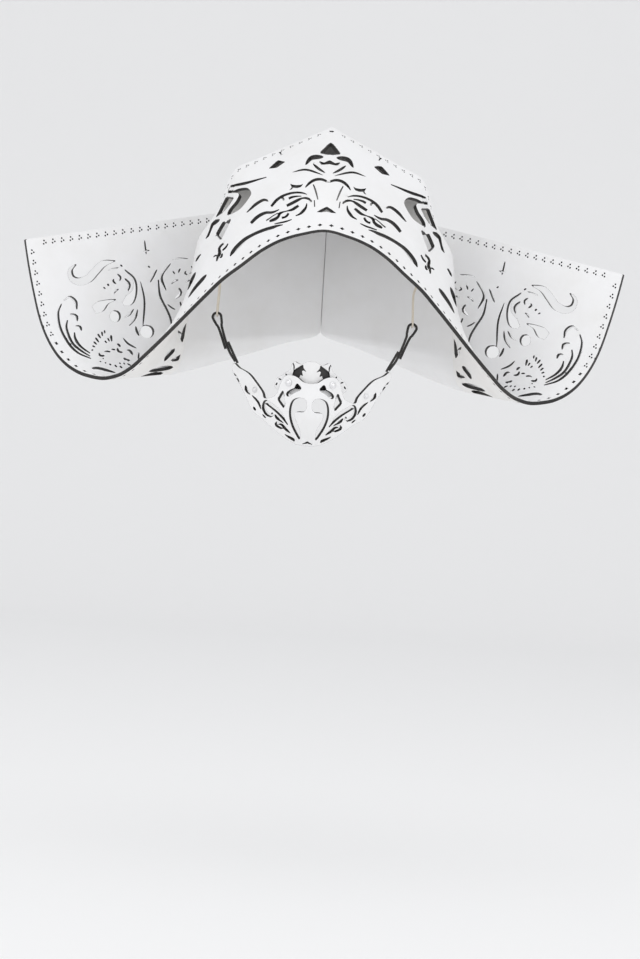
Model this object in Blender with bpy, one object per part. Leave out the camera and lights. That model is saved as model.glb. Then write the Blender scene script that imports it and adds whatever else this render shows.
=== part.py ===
import math

import bpy
import numpy as np
from mathutils.geometry import delaunay_2d_cdt

# Cornette of white pierced leather: a winged hood sheet with a chin piece hung below it.
# X is the wearer's left, -Y is the front and Z is up; lengths in tables are millimetres.

MM = 0.001
HOOD_WALL = 2.6
CHIN_WALL = 3.0
PLATE_WALL = 1.6
BACK_WALL = 2.0
SEAM_GAP = 0.3
STRAP_WIDTH = 9.0
ELASTIC_THICKNESS = 1.4
RIVET_UPPER = 5.8
RIVET_LOWER = 4.4
CHIN_ASIDE = -4.4
SHEET_DEPTH = 150.0
OUTLINE_STEP = 11.0
HOLE_MARGIN = 3.0
HOOD_EDGE = 8.0
HOOD_COLUMN = 17.0
HOOD_ROW = 20.0
HOOD_ROW_FIRST = 15.0
CREST_STEP = 9.0

# The gap charts are drawn on an upright plane, as seen from a far point in front of it.
SIGHT_BACK = -2060.0
SIGHT_HEIGHT = -171.0
CHART_DEPTH = -60.0

# Hood sheet: each row is one straight line of the leather, from the front rim to the back edge.
# rim x, rim z, rim depth, back x, back z, back depth
HOOD_LINES = (
    (0.0, 20.3, -133.0, 0.0, 99.0, -25.0),
    (19.0, 16.4, -131.5, 22.0, 88.2, -20.0),
    (34.0, 10.9, -128.0, 41.0, 78.8, -14.0),
    (48.0, 2.5, -123.0, 57.0, 70.9, -8.0),
    (62.5, -9.5, -116.0, 71.0, 63.5, 0.0),
    (77.0, -21.6, -108.0, 84.0, 29.0, 12.0),
    (89.0, -34.4, -101.0, 97.0, 6.0, 19.0),
    (103.0, -50.0, -92.0, 100.0, -16.0, 20.0),
    (119.0, -68.0, -81.0, 102.5, -42.0, 18.0),
    (133.0, -83.0, -72.0, 104.0, -66.0, 15.0),
    (144.0, -94.0, -66.0, 106.0, -82.0, 17.0),
    (154.5, -100.5, -62.0, 109.0, -91.5, 26.0),
    (165.5, -103.0, -60.0, 114.0, -96.0, 42.0),
    (179.0, -102.0, -58.0, 92.0, -89.5, 60.0),
    (188.0, -97.0, -56.0, 62.0, -79.0, 77.0),
    (198.0, -88.5, -54.0, 28.0, -67.0, 97.0),
    (208.0, -75.0, -52.0, 1.1, -57.0, 112.0),
    (216.0, -59.5, -50.0, 1.1, -30.0, 112.0),
    (221.5, -41.0, -48.0, 1.1, -5.0, 112.0),
    (227.0, -19.0, -46.0, 1.1, 22.0, 112.0),
    (231.0, 0.0, -44.0, 1.1, 46.0, 112.0),
)
FIRST_SIDE_LINE = 5
FOLD_LINE = 12
CROWN_SWELL = 8.0

# Plain back: where its edges lie across the sheet, how much the dome swells, and the centre-back strip
PANEL_FRONT = 0.94
PANEL_BACK = 0.975
PANEL_BACK_SPREAD = 0.31
PANEL_TOP_INSET = 14.0
PANEL_SWELL = 24.0
STRIP_PLACES = (0.925, 0.962)
STRIP_LINE = 16

# Leaves cut through the crown: start, bend and end as x and z, greatest width, where it lies, bluntness
CROWN_LEAVES = (
    ("crescent", 17.9, 69.0, 13.5, 74.7, 4.4, 76.0, 3.6, 0.60, 0.7),
    ("short leaf", 12.2, 70.3, 7.8, 66.8, 2.5, 63.8, 1.9, 0.40, 0.7),
    ("whisker", 27.6, 62.9, 17.1, 65.4, 4.1, 62.1, 1.6, 0.50, 0.7),
    ("lower arc", 17.2, 51.1, 12.1, 57.6, 2.2, 58.2, 2.9, 0.60, 0.7),
    ("stem", 11.8, 53.8, 7.6, 46.2, 8.9, 37.5, 1.6, 0.50, 0.7),
    ("big arc", 41.8, 34.5, 33.4, 44.5, 16.3, 46.0, 3.0, 0.35, 0.7),
    ("hook arc", 29.8, 35.9, 21.9, 41.5, 11.8, 40.7, 2.9, 0.35, 0.7),
    ("curl", 14.4, 37.8, 14.7, 33.3, 21.5, 29.5, 2.3, 0.45, 0.7),
    ("seed", 25.5, 32.7, 23.2, 34.4, 20.6, 36.2, 2.5, 0.50, 0.7),
    ("cluster", 41.8, 22.9, 38.1, 24.7, 34.4, 26.8, 2.6, 0.50, 0.7),
    ("leaf", 60.7, 29.3, 55.0, 36.8, 45.5, 39.0, 3.2, 0.70, 0.7),
    ("low leaf", 56.8, 21.1, 49.7, 28.5, 37.4, 31.2, 4.0, 0.30, 0.7),
    ("long leaf", 70.9, -3.8, 61.6, 9.6, 32.0, 20.5, 3.6, 0.20, 0.7),
    ("spear", 73.4, 50.4, 62.8, 53.1, 46.6, 58.0, 2.3, 0.35, 0.7),
)

# Shapes cut through the crown, by their corners as x and z
CROWN_CUTS = (
    ("diamond", (45.9, 64.6), (39.1, 71.5), (33.5, 70.5), (39.8, 65.6)),
    ("notched bar", (29.4, 52.8), (24.9, 52.2), (19.8, 53.7), (20.7, 50.8), (24.7, 49.8), (27.9, 50.3)),
    ("hooked window", (73.4, 45.9), (63.9, 48.8), (59.7, 47.6), (58.4, 44.2), (61.3, 38.5), (66.1, 32.3),
     (72.4, 28.4), (70.9, 37.6), (67.2, 43.4)),
    ("side window", (77.0, 41.2), (72.0, 40.7), (74.8, 33.6), (78.6, 29.3), (81.6, 27.6), (79.0, 35.1)),
    ("low window", (80.7, 24.1), (84.5, 22.7), (87.7, 18.0), (89.4, 9.6), (86.7, 10.6), (83.0, 18.5)),
    ("middle window", (77.9, 22.8), (74.8, 22.3), (71.6, 24.0), (77.9, 10.0), (82.0, 13.2)),
)

# Cuts that cross the middle line of the crown, by their right half
MIDDLE_CUTS = (
    ("arrowhead", (0.0, 87.2), (7.0, 79.0), (0.0, 77.8)),
    ("bracket", (0.0, 73.6), (3.8, 71.6), (7.0, 72.4), (4.4, 70.0), (0.0, 70.6)),
    ("chevron", (0.0, 38.8), (7.2, 33.4), (3.2, 33.4), (0.0, 31.6)),
)

# Leaves cut through the wing, with the same columns as the crown's
WING_LEAVES = (
    ("arc", 153.2, -25.6, 149.3, -29.5, 149.8, -34.7, 1.8, 0.50, 0.7),
    ("disc", 159.4, -50.4, 158.8, -55.1, 158.8, -59.8, 8.3, 0.50, 0.5),
    ("low slash", 142.1, -48.8, 143.6, -56.3, 147.6, -61.9, 1.7, 0.50, 0.7),
    ("low disc", 134.2, -60.3, 133.7, -65.5, 133.6, -70.7, 11.0, 0.50, 0.5),
    ("second hook", 193.5, -55.3, 188.5, -56.6, 187.6, -60.8, 1.8, 0.50, 0.7),
    ("third hook", 188.8, -64.3, 185.1, -64.9, 184.0, -68.0, 1.8, 0.50, 0.7),
    ("bottom leaf", 173.9, -96.0, 166.0, -95.6, 156.5, -97.6, 2.2, 0.30, 0.7),
    ("curl", 156.2, -76.8, 154.3, -81.0, 151.3, -82.8, 2.6, 0.50, 0.7),
    ("small curl", 148.5, -80.7, 145.5, -81.3, 143.5, -83.9, 2.2, 0.50, 0.7),
    ("inner c", 118.6, -12.0, 124.0, -21.2, 121.1, -32.8, 1.8, 0.50, 0.7),
    ("inner disc", 111.3, -30.1, 109.8, -34.6, 114.3, -38.9, 2.6, 0.50, 0.7),
)

# Bands cut through the wing, by points along their middle as x, z and width
WING_BANDS = (
    ("scroll", (191.1, -17.0, 0.8), (195.0, -21.4, 3.3), (193.7, -27.4, 4.7), (188.1, -29.9, 5.5),
     (180.9, -27.3, 6.1), (175.8, -21.3, 6.1), (169.8, -15.0, 4.9), (161.4, -12.4, 0.8)),
    ("crescent", (153.3, -19.0, 0.8), (146.1, -25.4, 2.2), (144.8, -34.2, 3.9), (148.6, -41.8, 8.0),
     (153.3, -45.3, 2.9)),
    ("drop", (159.2, -42.2, 0.8), (165.1, -44.2, 3.5), (170.3, -48.0, 8.3), (175.4, -51.2, 5.9)),
    ("first hook", (199.0, -45.2, 0.8), (194.3, -42.2, 1.5), (189.7, -45.7, 2.2), (188.5, -51.5, 0.8)),
    ("first plume", (200.6, -48.3, 0.8), (202.6, -55.3, 1.5), (200.2, -67.0, 1.9), (193.2, -78.4, 1.9),
     (185.4, -85.3, 1.5), (175.5, -89.1, 0.8)),
    ("second plume", (195.2, -60.3, 0.8), (195.5, -66.7, 1.6), (190.8, -77.2, 1.9), (184.0, -83.0, 1.6),
     (177.6, -86.5, 0.8)),
    ("third plume", (189.3, -69.5, 0.8), (188.2, -74.6, 1.8), (183.7, -80.2, 1.6), (177.0, -84.0, 0.8)),
    ("inner stem", (127.4, -25.3, 0.8), (125.2, -37.5, 1.6), (119.7, -47.5, 1.8), (116.6, -54.2, 1.6),
     (115.4, -59.0, 0.8)),
)

# Leaves cut through the side of the hood, between the crown and the wing
SIDE_LEAVES = (
    ("long slit", 96.9, -17.6, 101.6, -28.8, 104.6, -35.6, 2.4, 0.30, 0.7),
    ("rim slit", 88.4, -19.3, 96.6, -29.9, 101.5, -38.0, 2.6, 0.25, 0.7),
)
UNDER_LEAVES = (
    ("under slash", 110.5, -62.5, 107.4, -67.0, 105.6, -70.5, 3.0, 0.50, 0.7),
    ("under leaf", 121.5, -81.5, 116.0, -83.5, 110.0, -85.0, 3.2, 0.50, 0.7),
)

# Chin piece outline, by its right half: upper edge from the middle to the arm, then the lower edge back
CHIN_OUTLINE = (
    (0.0, -99.6), (5.1, -98.5), (9.1, -95.4), (13.0, -93.8), (16.9, -93.5), (20.0, -95.5), (21.9, -99.7),
    (23.4, -104.6), (25.4, -109.0), (29.1, -111.0), (34.0, -111.5), (35.8, -107.0), (40.8, -100.4),
    (47.4, -93.1), (55.4, -88.6), (59.3, -85.3), (60.3, -90.2), (57.7, -95.4), (53.5, -101.8),
    (48.5, -110.5), (42.4, -121.4), (34.2, -127.3), (25.0, -134.4), (17.5, -140.0), (9.0, -144.2),
    (2.4, -145.2), (0.0, -143.6),
)
CHIN_LEAVES = (
    ("arm leaf", 49.4, -102.2, 47.9, -106.1, 45.0, -109.6, 2.0, 0.40, 0.7),
    ("arm line", 43.6, -110.2, 38.7, -114.6, 35.9, -120.0, 1.6, 0.50, 0.7),
    ("hook loop", 31.0, -114.6, 33.0, -120.2, 27.5, -124.3, 3.4, 0.50, 0.5),
    ("low leaf", 24.9, -124.2, 21.0, -128.2, 15.2, -131.4, 3.0, 0.35, 0.7),
    ("low hook", 24.0, -130.6, 19.8, -132.0, 13.2, -136.5, 2.6, 0.40, 0.7),
)
CHIN_BANDS = (
    ("blade", (29.3, -113.8, 0.8), (24.5, -116.9, 4.2), (19.6, -122.3, 3.8), (15.4, -129.4, 0.8)),
)
CHIN_CUTS = (
    ("big scroll", (1.8, -114.8), (3.3, -111.4), (7.8, -110.6), (12.0, -112.4), (13.8, -116.7), (14.0, -123.4),
     (12.2, -130.2), (9.4, -135.9), (6.1, -140.6), (5.4, -138.4), (6.1, -133.1), (8.2, -128.6), (10.0, -124.6),
     (9.4, -121.1), (4.0, -120.7), (1.9, -118.2)),
    ("kidney", (17.0, -107.3), (15.0, -105.2), (11.2, -103.5), (7.7, -102.0), (6.9, -104.5), (9.8, -106.1),
     (12.2, -107.7), (14.4, -109.4), (16.4, -109.5)),
    ("arrow cut", (20.0, -105.5), (23.4, -112.2), (18.5, -118.4), (17.7, -114.3), (18.6, -110.5)),
)

# Mouth plate outline, by its right half
PLATE_OUTLINE = (
    (0.0, -107.4), (10.9, -108.5), (19.9, -107.3), (25.8, -105.1), (29.0, -101.4), (27.5, -96.7),
    (23.5, -93.7), (20.6, -91.4), (17.6, -89.5), (16.3, -85.8), (14.4, -82.9), (11.5, -84.3),
    (8.7, -84.9), (5.4, -83.7), (2.4, -82.5), (0.0, -82.9),
)
PLATE_CUTS = (
    ("star", (14.2, -92.4), (12.0, -89.4), (8.5, -87.7), (5.8, -86.2), (5.0, -89.3), (7.3, -89.9),
     (6.9, -91.9), (9.3, -91.3), (9.8, -93.2), (11.7, -92.3)),
)

# Chin piece surface, a blunt prow: its front depth, how its arms sweep back, how blunt its middle is,
# its curl below one height, and the spacing of the points that carry the curve
CHIN_FRONT = -104.0
CHIN_SWEEP = 0.905
CHIN_BLUNT = 12.0
CURL_TOP = -110.0
CURL_BOW = 0.012
CHIN_STEP = 3.5
CHIN_REACH = 56.0
CHIN_LOWEST = -142.0
CHIN_HIGHEST = -80.0
CHIN_ROW = 6.0
CHIN_MARGIN = 1.6

# Rivets and strap places as x and z
UPPER_RIVET = (15.9, -99.5)
LOWER_RIVET = (41.6, -105.5)
UPPER_SHANK_HOLE = 1.25
LOWER_SHANK_HOLE = 1.0
STRAP_EYE = (75.6, -50.2)
STRAP_END = (65.9, -75.5)
STRAP_FOOT = (59.2, -84.2)

# Strap: the loop's outer and inner radius, its neck's distance and half width, half the doubled and single end
LOOP_OUTER = 4.2
LOOP_INNER = 2.1
LOOP_NECK = 9.0
NECK_HALF = 2.7
DOUBLE_HALF = 2.0
SINGLE_HALF = 1.0
STRAP_LOW = -87.0
STRAP_LOW_DEPTH = -61.0
STRAP_LEAN = 13.0 / 41.0

# Elastic: its reach past the strap's edges, where it passes below the brow, and its two ends in the hood
ELASTIC_REACH = 2.9
ELASTIC_PASS = -26.0
ELASTIC_ENDS = (0.40, 0.47)
ELASTIC_STUB = 5.0

for old in list(bpy.data.objects):
    bpy.data.objects.remove(old, do_unlink=True)


def leather(name, colour, roughness):
    material = bpy.data.materials.new(name)
    material.use_nodes = True
    shader = material.node_tree.nodes["Principled BSDF"]
    shader.inputs["Base Color"].default_value = (*colour, 1.0)
    shader.inputs["Roughness"].default_value = roughness
    material.diffuse_color = (*colour, 1.0)
    return material


def add_solid(name, points, faces, material, smooth=False):
    mesh = bpy.data.meshes.new(name)
    mesh.from_pydata([tuple(p * MM) for p in np.asarray(points, float)], [], faces)
    mesh.materials.append(material)
    if smooth:
        mesh.polygons.foreach_set("use_smooth", [True] * len(mesh.polygons))
    mesh.update()
    node = bpy.data.objects.new(name, mesh)
    bpy.context.scene.collection.objects.link(node)
    return node


def steady_curve(stations, values):
    """A smooth curve through the values that never overshoots them."""
    h = np.diff(stations)
    d = np.diff(values) / h
    m = np.zeros(len(values))
    for i in range(1, len(values) - 1):
        if d[i - 1] * d[i] > 0:
            w1 = 2 * h[i] + h[i - 1]
            w2 = h[i] + 2 * h[i - 1]
            m[i] = (w1 + w2) / (w1 / d[i - 1] + w2 / d[i])
    m[0] = d[0]
    m[-1] = d[-1]

    def at(t):
        t = np.clip(np.asarray(t, float), stations[0], stations[-1])
        i = np.clip(np.searchsorted(stations, t, side="right") - 1, 0, len(h) - 1)
        r = (t - stations[i]) / h[i]
        rise = values[i] * (1 + 2 * r) * (1 - r) ** 2 + values[i + 1] * r * r * (3 - 2 * r)
        return rise + h[i] * (m[i] * r * (1 - r) ** 2 - m[i + 1] * r * r * (1 - r))

    return at


def carried(x, z, depth):
    """The true place of a chart point that lies at another depth."""
    grow = (depth - SIGHT_BACK) / (CHART_DEPTH - SIGHT_BACK)
    return x * grow, SIGHT_HEIGHT + (z - SIGHT_HEIGHT) * grow


def hood_stations():
    rows = np.array(HOOD_LINES)
    middle = 0.5 * (rows[:, 0:3] + rows[:, 3:6])
    rim = rows[:, 0:3]
    middle_steps = np.linalg.norm(np.diff(middle, axis=0), axis=1)
    rim_steps = np.linalg.norm(np.diff(rim, axis=0), axis=1)
    steps = 0.5 * (middle_steps + rim_steps)
    return np.concatenate(([0.0], np.cumsum(steps)))


STATIONS = hood_stations()
HALF_LENGTH = STATIONS[-1]


def hood_columns():
    rows = np.array(HOOD_LINES)
    columns = []
    for first in (0, 3):
        x, z = carried(rows[:, first], rows[:, first + 1], rows[:, first + 2])
        columns += [steady_curve(STATIONS, v) for v in (x, z, rows[:, first + 2])]
    return columns


HOOD_CURVES = hood_columns()


def hood_point(along, across):
    """A point of the hood sheet; along runs from the middle to a wing tip, across from rim to back."""
    along = np.asarray(along, float)
    across = np.asarray(across, float)
    side = np.where(along < 0, -1.0, 1.0)
    reach = np.abs(along)
    rx, rz, ry, bx, bz, by = [curve(reach) for curve in HOOD_CURVES]
    fade = np.clip(1.0 - reach / STATIONS[FIRST_SIDE_LINE + 1], 0, 1)
    swell = CROWN_SWELL * 4 * across * (1 - across) * fade * fade * (3 - 2 * fade)
    x = rx + (bx - rx) * across
    y = ry + (by - ry) * across - 0.55 * swell
    z = rz + (bz - rz) * across + 0.83 * swell
    return np.stack([side * x, y, z], axis=-1)


def hood_normal(along, across):
    step = 0.4
    a0 = hood_point(along - step, across)
    a1 = hood_point(along + step, across)
    b0 = hood_point(along, np.clip(across - 0.004, 0, 1))
    b1 = hood_point(along, np.clip(across + 0.004, 0, 1))
    n = np.cross(a1 - a0, b1 - b0)
    return n / np.linalg.norm(n, axis=-1, keepdims=True)


def charted(points):
    """Where points of the sheet show on the chart plane."""
    grow = (points[..., 1] - SIGHT_BACK) / (CHART_DEPTH - SIGHT_BACK)
    x = points[..., 0] / grow
    z = SIGHT_HEIGHT + (points[..., 2] - SIGHT_HEIGHT) / grow
    return np.stack([x, z], axis=-1)


def chart_to_sheet(chart, first, last):
    """Finds the sheet places of chart points, between two lines of the sheet."""
    chart = np.asarray(chart, float)
    along, across = np.meshgrid(np.linspace(first, last, 160), np.linspace(0.02, 0.98, 49), indexing="ij")
    seen = charted(hood_point(along, across)).reshape(-1, 2)
    along = along.ravel()
    across = across.ravel()
    near = np.argmin(((chart[:, None, :] - seen[None]) ** 2).sum(-1), axis=1)
    u = along[near].copy()
    v = across[near].copy()
    for _ in range(12):
        here = charted(hood_point(u, v))
        du = (charted(hood_point(u + 0.05, v)) - here) / 0.05
        dv = (charted(hood_point(u, v + 0.0005)) - here) / 0.0005
        gap = chart - here
        det = du[:, 0] * dv[:, 1] - du[:, 1] * dv[:, 0]
        det = np.where(np.abs(det) < 1e-3, 1e-3, det)
        step_u = (gap[:, 0] * dv[:, 1] - gap[:, 1] * dv[:, 0]) / det
        step_v = (du[:, 0] * gap[:, 1] - du[:, 1] * gap[:, 0]) / det
        u = np.clip(u + np.clip(step_u, -4, 4), first, last)
        v = np.clip(v + np.clip(step_v, -0.04, 0.04), 0.035, 0.95)
    return np.stack([u, v * SHEET_DEPTH], axis=-1)


def smooth_run(points, count):
    """Points spaced along a smooth curve through the given ones."""
    points = np.asarray(points, float)
    seg = np.linalg.norm(np.diff(points[:, :2], axis=0), axis=1)
    t = np.concatenate(([0.0], np.cumsum(seg)))
    padded = np.vstack([2 * points[0] - points[1], points, 2 * points[-1] - points[-2]])
    out = []
    for s in np.linspace(0, t[-1], count):
        i = min(max(int(np.searchsorted(t, s, side="right")) - 1, 0), len(seg) - 1)
        r = (s - t[i]) / seg[i]
        p0, p1, p2, p3 = padded[i:i + 4]
        out.append(0.5 * (2 * p1 + (p2 - p0) * r + (2 * p0 - 5 * p1 + 4 * p2 - p3) * r * r
                          + (3 * p1 - p0 - 3 * p2 + p3) * r ** 3))
    return np.array(out)


def ribbon_outline(middle, widths, closed_ends):
    """The outline of a band from its middle line and widths; the ends may come to points."""
    d = np.gradient(middle, axis=0)
    d /= np.linalg.norm(d, axis=1)[:, None]
    side = np.stack([-d[:, 1], d[:, 0]], axis=1) * 0.5 * widths[:, None]
    left = middle + side
    right = middle - side
    if closed_ends:
        return np.vstack([middle[:1], left[1:-1], middle[-1:], right[1:-1][::-1]])
    return np.vstack([left, right[::-1]])


def leaf_outline(row, count=6):
    x0, z0, x1, z1, x2, z2, width, belly, blunt = row[1:]
    middle = smooth_run([(x0, z0), (x1, z1), (x2, z2)], count)
    t = np.linspace(0, 1, count)
    q = np.where(t < belly, 0.5 * t / belly, 0.5 + 0.5 * (t - belly) / (1 - belly))
    return ribbon_outline(middle, width * (4 * q * (1 - q)) ** blunt, True)


def band_outline(row, count=9):
    run = smooth_run(row[1:], count)
    return ribbon_outline(run[:, :2], np.maximum(run[:, 2], 0.6), False)


def flipped(shape):
    return (np.asarray(shape) * np.array([-1.0, 1.0]))[::-1]


def whole_shape(half):
    """A shape across the middle line, from its right half."""
    half = np.asarray(half, float)
    left = half[np.abs(half[:, 0]) > 1e-6][::-1] * np.array([-1.0, 1.0])
    return np.vstack([half, left])


def inside(points, outline):
    x, y = points[:, 0], points[:, 1]
    result = np.zeros(len(points), bool)
    for a, b in zip(outline, np.roll(outline, -1, axis=0)):
        crosses = (a[1] > y) != (b[1] > y)
        slope = (b[0] - a[0]) / (b[1] - a[1]) if b[1] != a[1] else 0.0
        result ^= crosses & (x < slope * (y - a[1]) + a[0])
    return result


def distance_to_outline(points, outline):
    best = np.full(len(points), 1e9)
    for a, b in zip(outline, np.roll(outline, -1, axis=0)):
        ab = b - a
        t = np.clip(((points - a) @ ab) / max(ab @ ab, 1e-12), 0, 1)
        best = np.minimum(best, np.linalg.norm(points - a - t[:, None] * ab, axis=1))
    return best


def pierced_sheet(outline, holes, inner_points, clear):
    """Triangles of a flat outline with holes."""
    kept = np.asarray(inner_points, float)
    if len(kept):
        kept = kept[inside(kept, outline)]
        kept = kept[distance_to_outline(kept, outline) > clear]
        for hole in holes:
            kept = kept[(distance_to_outline(kept, hole) > clear) & ~inside(kept, hole)]
    points = [tuple(p) for p in outline]
    edges = []
    first = 0
    for loop in [outline] + list(holes):
        if first:
            points += [tuple(p) for p in loop]
        n = len(loop)
        edges += [(first + i, first + (i + 1) % n) for i in range(n)]
        first += n
    points += [tuple(p) for p in kept]
    coords, _, faces = delaunay_2d_cdt([tuple(map(float, p)) for p in points], edges, [], 0, 1e-5)[:3]
    flat = np.array([(c[0], c[1]) for c in coords])
    faces = np.array([f for f in faces if len(f) == 3])
    middle = flat[faces].mean(axis=1)
    keep = inside(middle, outline)
    for hole in holes:
        low = hole.min(axis=0)
        high = hole.max(axis=0)
        near = keep & (middle[:, 0] > low[0]) & (middle[:, 0] < high[0])
        near &= (middle[:, 1] > low[1]) & (middle[:, 1] < high[1])
        index = np.nonzero(near)[0]
        keep[index[inside(middle[index], hole)]] = False
    faces = faces[keep]
    a, b, c = flat[faces[:, 0]], flat[faces[:, 1]], flat[faces[:, 2]]
    area = (b[:, 0] - a[:, 0]) * (c[:, 1] - a[:, 1]) - (b[:, 1] - a[:, 1]) * (c[:, 0] - a[:, 0])
    faces[area < 0] = faces[area < 0][:, ::-1]
    used = np.unique(faces)
    renumber = np.full(len(flat), -1)
    renumber[used] = np.arange(len(used))
    return flat[used], renumber[faces]


def loose_edges(faces):
    seen = {}
    for f in faces:
        for i in range(3):
            seen[(f[i], f[(i + 1) % 3])] = True
    return [e for e in seen if (e[1], e[0]) not in seen]


def thick_solid(name, middle, normals, faces, wall, material):
    """A closed wall of leather about its middle surface."""
    n = len(middle)
    points = np.vstack([middle + 0.5 * wall * normals, middle - 0.5 * wall * normals])
    solid = [tuple(int(i) for i in f) for f in faces]
    solid += [tuple(int(i) + n for i in f[::-1]) for f in faces]
    for a, b in loose_edges(faces):
        solid.append((int(b), int(a), int(a) + n))
        solid.append((int(b), int(a) + n, int(b) + n))
    return add_solid(name, points, solid, material)


def edge_run(start, end, step):
    count = max(2, int(round(np.linalg.norm(np.subtract(end, start)) / step)) + 1)
    return np.linspace(start, end, count)[:-1]


def hood_outline(step):
    length, depth = HALF_LENGTH, SHEET_DEPTH
    sides = [((-length, 0), (length, 0)), ((length, 0), (length, depth)),
             ((length, depth), (0, depth)), ((0, depth), (-length, depth)), ((-length, depth), (-length, 0))]
    return np.vstack([edge_run(a, b, step) for a, b in sides])


def hood_holes():
    side = STATIONS[FIRST_SIDE_LINE + 4]
    fold = STATIONS[FOLD_LINE]
    crown = [leaf_outline(r) for r in CROWN_LEAVES] + [np.array(r[1:]) for r in CROWN_CUTS]
    groups = (
        (crown, 0.0, side),
        ([leaf_outline(r) for r in WING_LEAVES] + [band_outline(r) for r in WING_BANDS], fold + 2, HALF_LENGTH),
        ([leaf_outline(r) for r in SIDE_LEAVES], STATIONS[FIRST_SIDE_LINE], side),
        ([leaf_outline(r) for r in UNDER_LEAVES], STATIONS[FIRST_SIDE_LINE + 2], fold - 4),
    )
    holes = []
    for shapes, first, last in groups:
        for shape in shapes:
            flat = chart_to_sheet(shape, first, last)
            holes += [flat, flipped(flat)]
    for row in MIDDLE_CUTS:
        flat = chart_to_sheet(np.array(row[1:]), 0.0, side)
        flat[np.abs(np.array(row[1:])[:, 0]) < 1e-6, 0] = 0.0
        holes.append(whole_shape(flat))
    return holes


def make_hood(material):
    outline = hood_outline(OUTLINE_STEP)
    lengths = np.arange(-HALF_LENGTH + HOOD_EDGE, HALF_LENGTH, HOOD_COLUMN)
    depths = np.arange(HOOD_ROW_FIRST, SHEET_DEPTH, HOOD_ROW)
    inner = [(u, v) for u in lengths for v in depths]
    inner += [(0.0, v) for v in np.arange(HOOD_EDGE, SHEET_DEPTH, CREST_STEP)]
    flat, faces = pierced_sheet(outline, hood_holes(), inner, HOLE_MARGIN)
    along, across = flat[:, 0], flat[:, 1] / SHEET_DEPTH
    middle = hood_point(along, across)
    return thick_solid("hood_sheet", middle, hood_normal(along, across), faces, HOOD_WALL, material)


def grid_solid(name, grid, wall, material):
    """A closed wall from a grid of middle points."""
    grid = np.asarray(grid, float)
    rows, columns = grid.shape[:2]
    du = np.gradient(grid, axis=0)
    dv = np.gradient(grid, axis=1)
    normal = np.cross(du, dv)
    normal /= np.linalg.norm(normal, axis=-1, keepdims=True)
    faces = []
    for i in range(rows - 1):
        for j in range(columns - 1):
            a = i * columns + j
            faces.append((a, a + columns, a + columns + 1))
            faces.append((a, a + columns + 1, a + 1))
    return thick_solid(name, grid.reshape(-1, 3), normal.reshape(-1, 3), np.array(faces), wall, material)


def make_crown_back(material):
    """The plain panel that closes the hood over the back of the head."""
    offset = 0.5 * HOOD_WALL + SEAM_GAP + 0.5 * BACK_WALL + 0.5
    reach = STATIONS[FIRST_SIDE_LINE]
    grid = []
    for t in np.linspace(-1, 1, 19):
        place = 0.5 if abs(t) < 1e-6 else t * reach
        front = hood_point(place, PANEL_FRONT) - offset * hood_normal(place, PANEL_FRONT)
        along = (HALF_LENGTH - PANEL_TOP_INSET) * (1 if t >= 0 else -1)
        across = PANEL_BACK - PANEL_BACK_SPREAD * abs(t)
        back = hood_point(along, across) + offset * hood_normal(along, across)
        if abs(t) < 1e-6:
            front[0] = 0.0
            back[0] = 0.0
            back[1] += -0.4
        line = []
        for s in np.linspace(0, 1, 10):
            p = front + (back - front) * s
            p = p + np.array([0.0, 0.25, 1.0]) * PANEL_SWELL * 4 * s * (1 - s) * (1 - 0.75 * t * t)
            line.append(p)
        grid.append(line)
    return grid_solid("crown_back", grid, BACK_WALL, material)


def make_back_strip(material):
    """The plain strip behind the head, over the seam between the two wing ends."""
    offset = 0.5 * HOOD_WALL + 2 * SEAM_GAP + 0.5 * BACK_WALL
    grid = []
    for along in np.linspace(STATIONS[STRIP_LINE] + 4, HALF_LENGTH - 5, 7):
        row = []
        for across in STRIP_PLACES:
            row.append(hood_point(along, across) - offset * hood_normal(along, across))
        edge = row[1] - row[0]
        middle = row[1] + edge * (-row[1][0] / edge[0])
        line = row + [middle] + [p * np.array([-1, 1, 1]) for p in row[::-1]]
        grid.append(line)
    return grid_solid("back_strip", grid, BACK_WALL, material)


def chin_depth(x, z):
    sweep = CHIN_SWEEP * (math.hypot(x, CHIN_BLUNT) - CHIN_BLUNT)
    curl = max(0.0, CURL_TOP - z)
    return CHIN_FRONT + sweep + CURL_BOW * curl * curl


def chin_frame(x, z, lift=0.0):
    """A point of the chin surface and its outward normal."""
    step = 0.2
    dx = (chin_depth(x + step, z) - chin_depth(x - step, z)) / (2 * step)
    dz = (chin_depth(x, z + step) - chin_depth(x, z - step)) / (2 * step)
    n = np.array([dx, -1.0, dz])
    n /= np.linalg.norm(n)
    return np.array([x + CHIN_ASIDE, chin_depth(x, z), z]) + lift * n, n


def circle(x, z, radius, count=8):
    turn = [2 * math.pi * (i + 0.5) / count for i in range(count)]
    return np.array([(x + radius * math.cos(a), z + radius * math.sin(a)) for a in turn])


def finely_cut(outline, step):
    """The same outline with its long sides divided."""
    sides = zip(outline, np.roll(outline, -1, axis=0))
    return np.vstack([edge_run(a, b, step) for a, b in sides])


def make_chin_part(name, outline, holes, lift, wall, material):
    outline = finely_cut(whole_shape(outline), CHIN_STEP)
    pairs = []
    for hole in holes:
        pairs += [np.asarray(hole, float), flipped(hole)]
    columns = np.arange(-CHIN_REACH, CHIN_REACH + 1, CHIN_STEP)
    rows = np.arange(CHIN_LOWEST, CHIN_HIGHEST, CHIN_ROW)
    flat, faces = pierced_sheet(outline, pairs, [(x, z) for x in columns for z in rows], CHIN_MARGIN)
    placed = [chin_frame(x, z, lift) for x, z in flat]
    middle = np.array([p for p, _ in placed])
    normals = np.array([n for _, n in placed])
    a, b, c = middle[faces[0]]
    if np.dot(np.cross(b - a, c - a), normals[faces[0][0]]) < 0:
        faces = faces[:, ::-1]
    return thick_solid(name, middle, normals, faces, wall, material)


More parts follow.
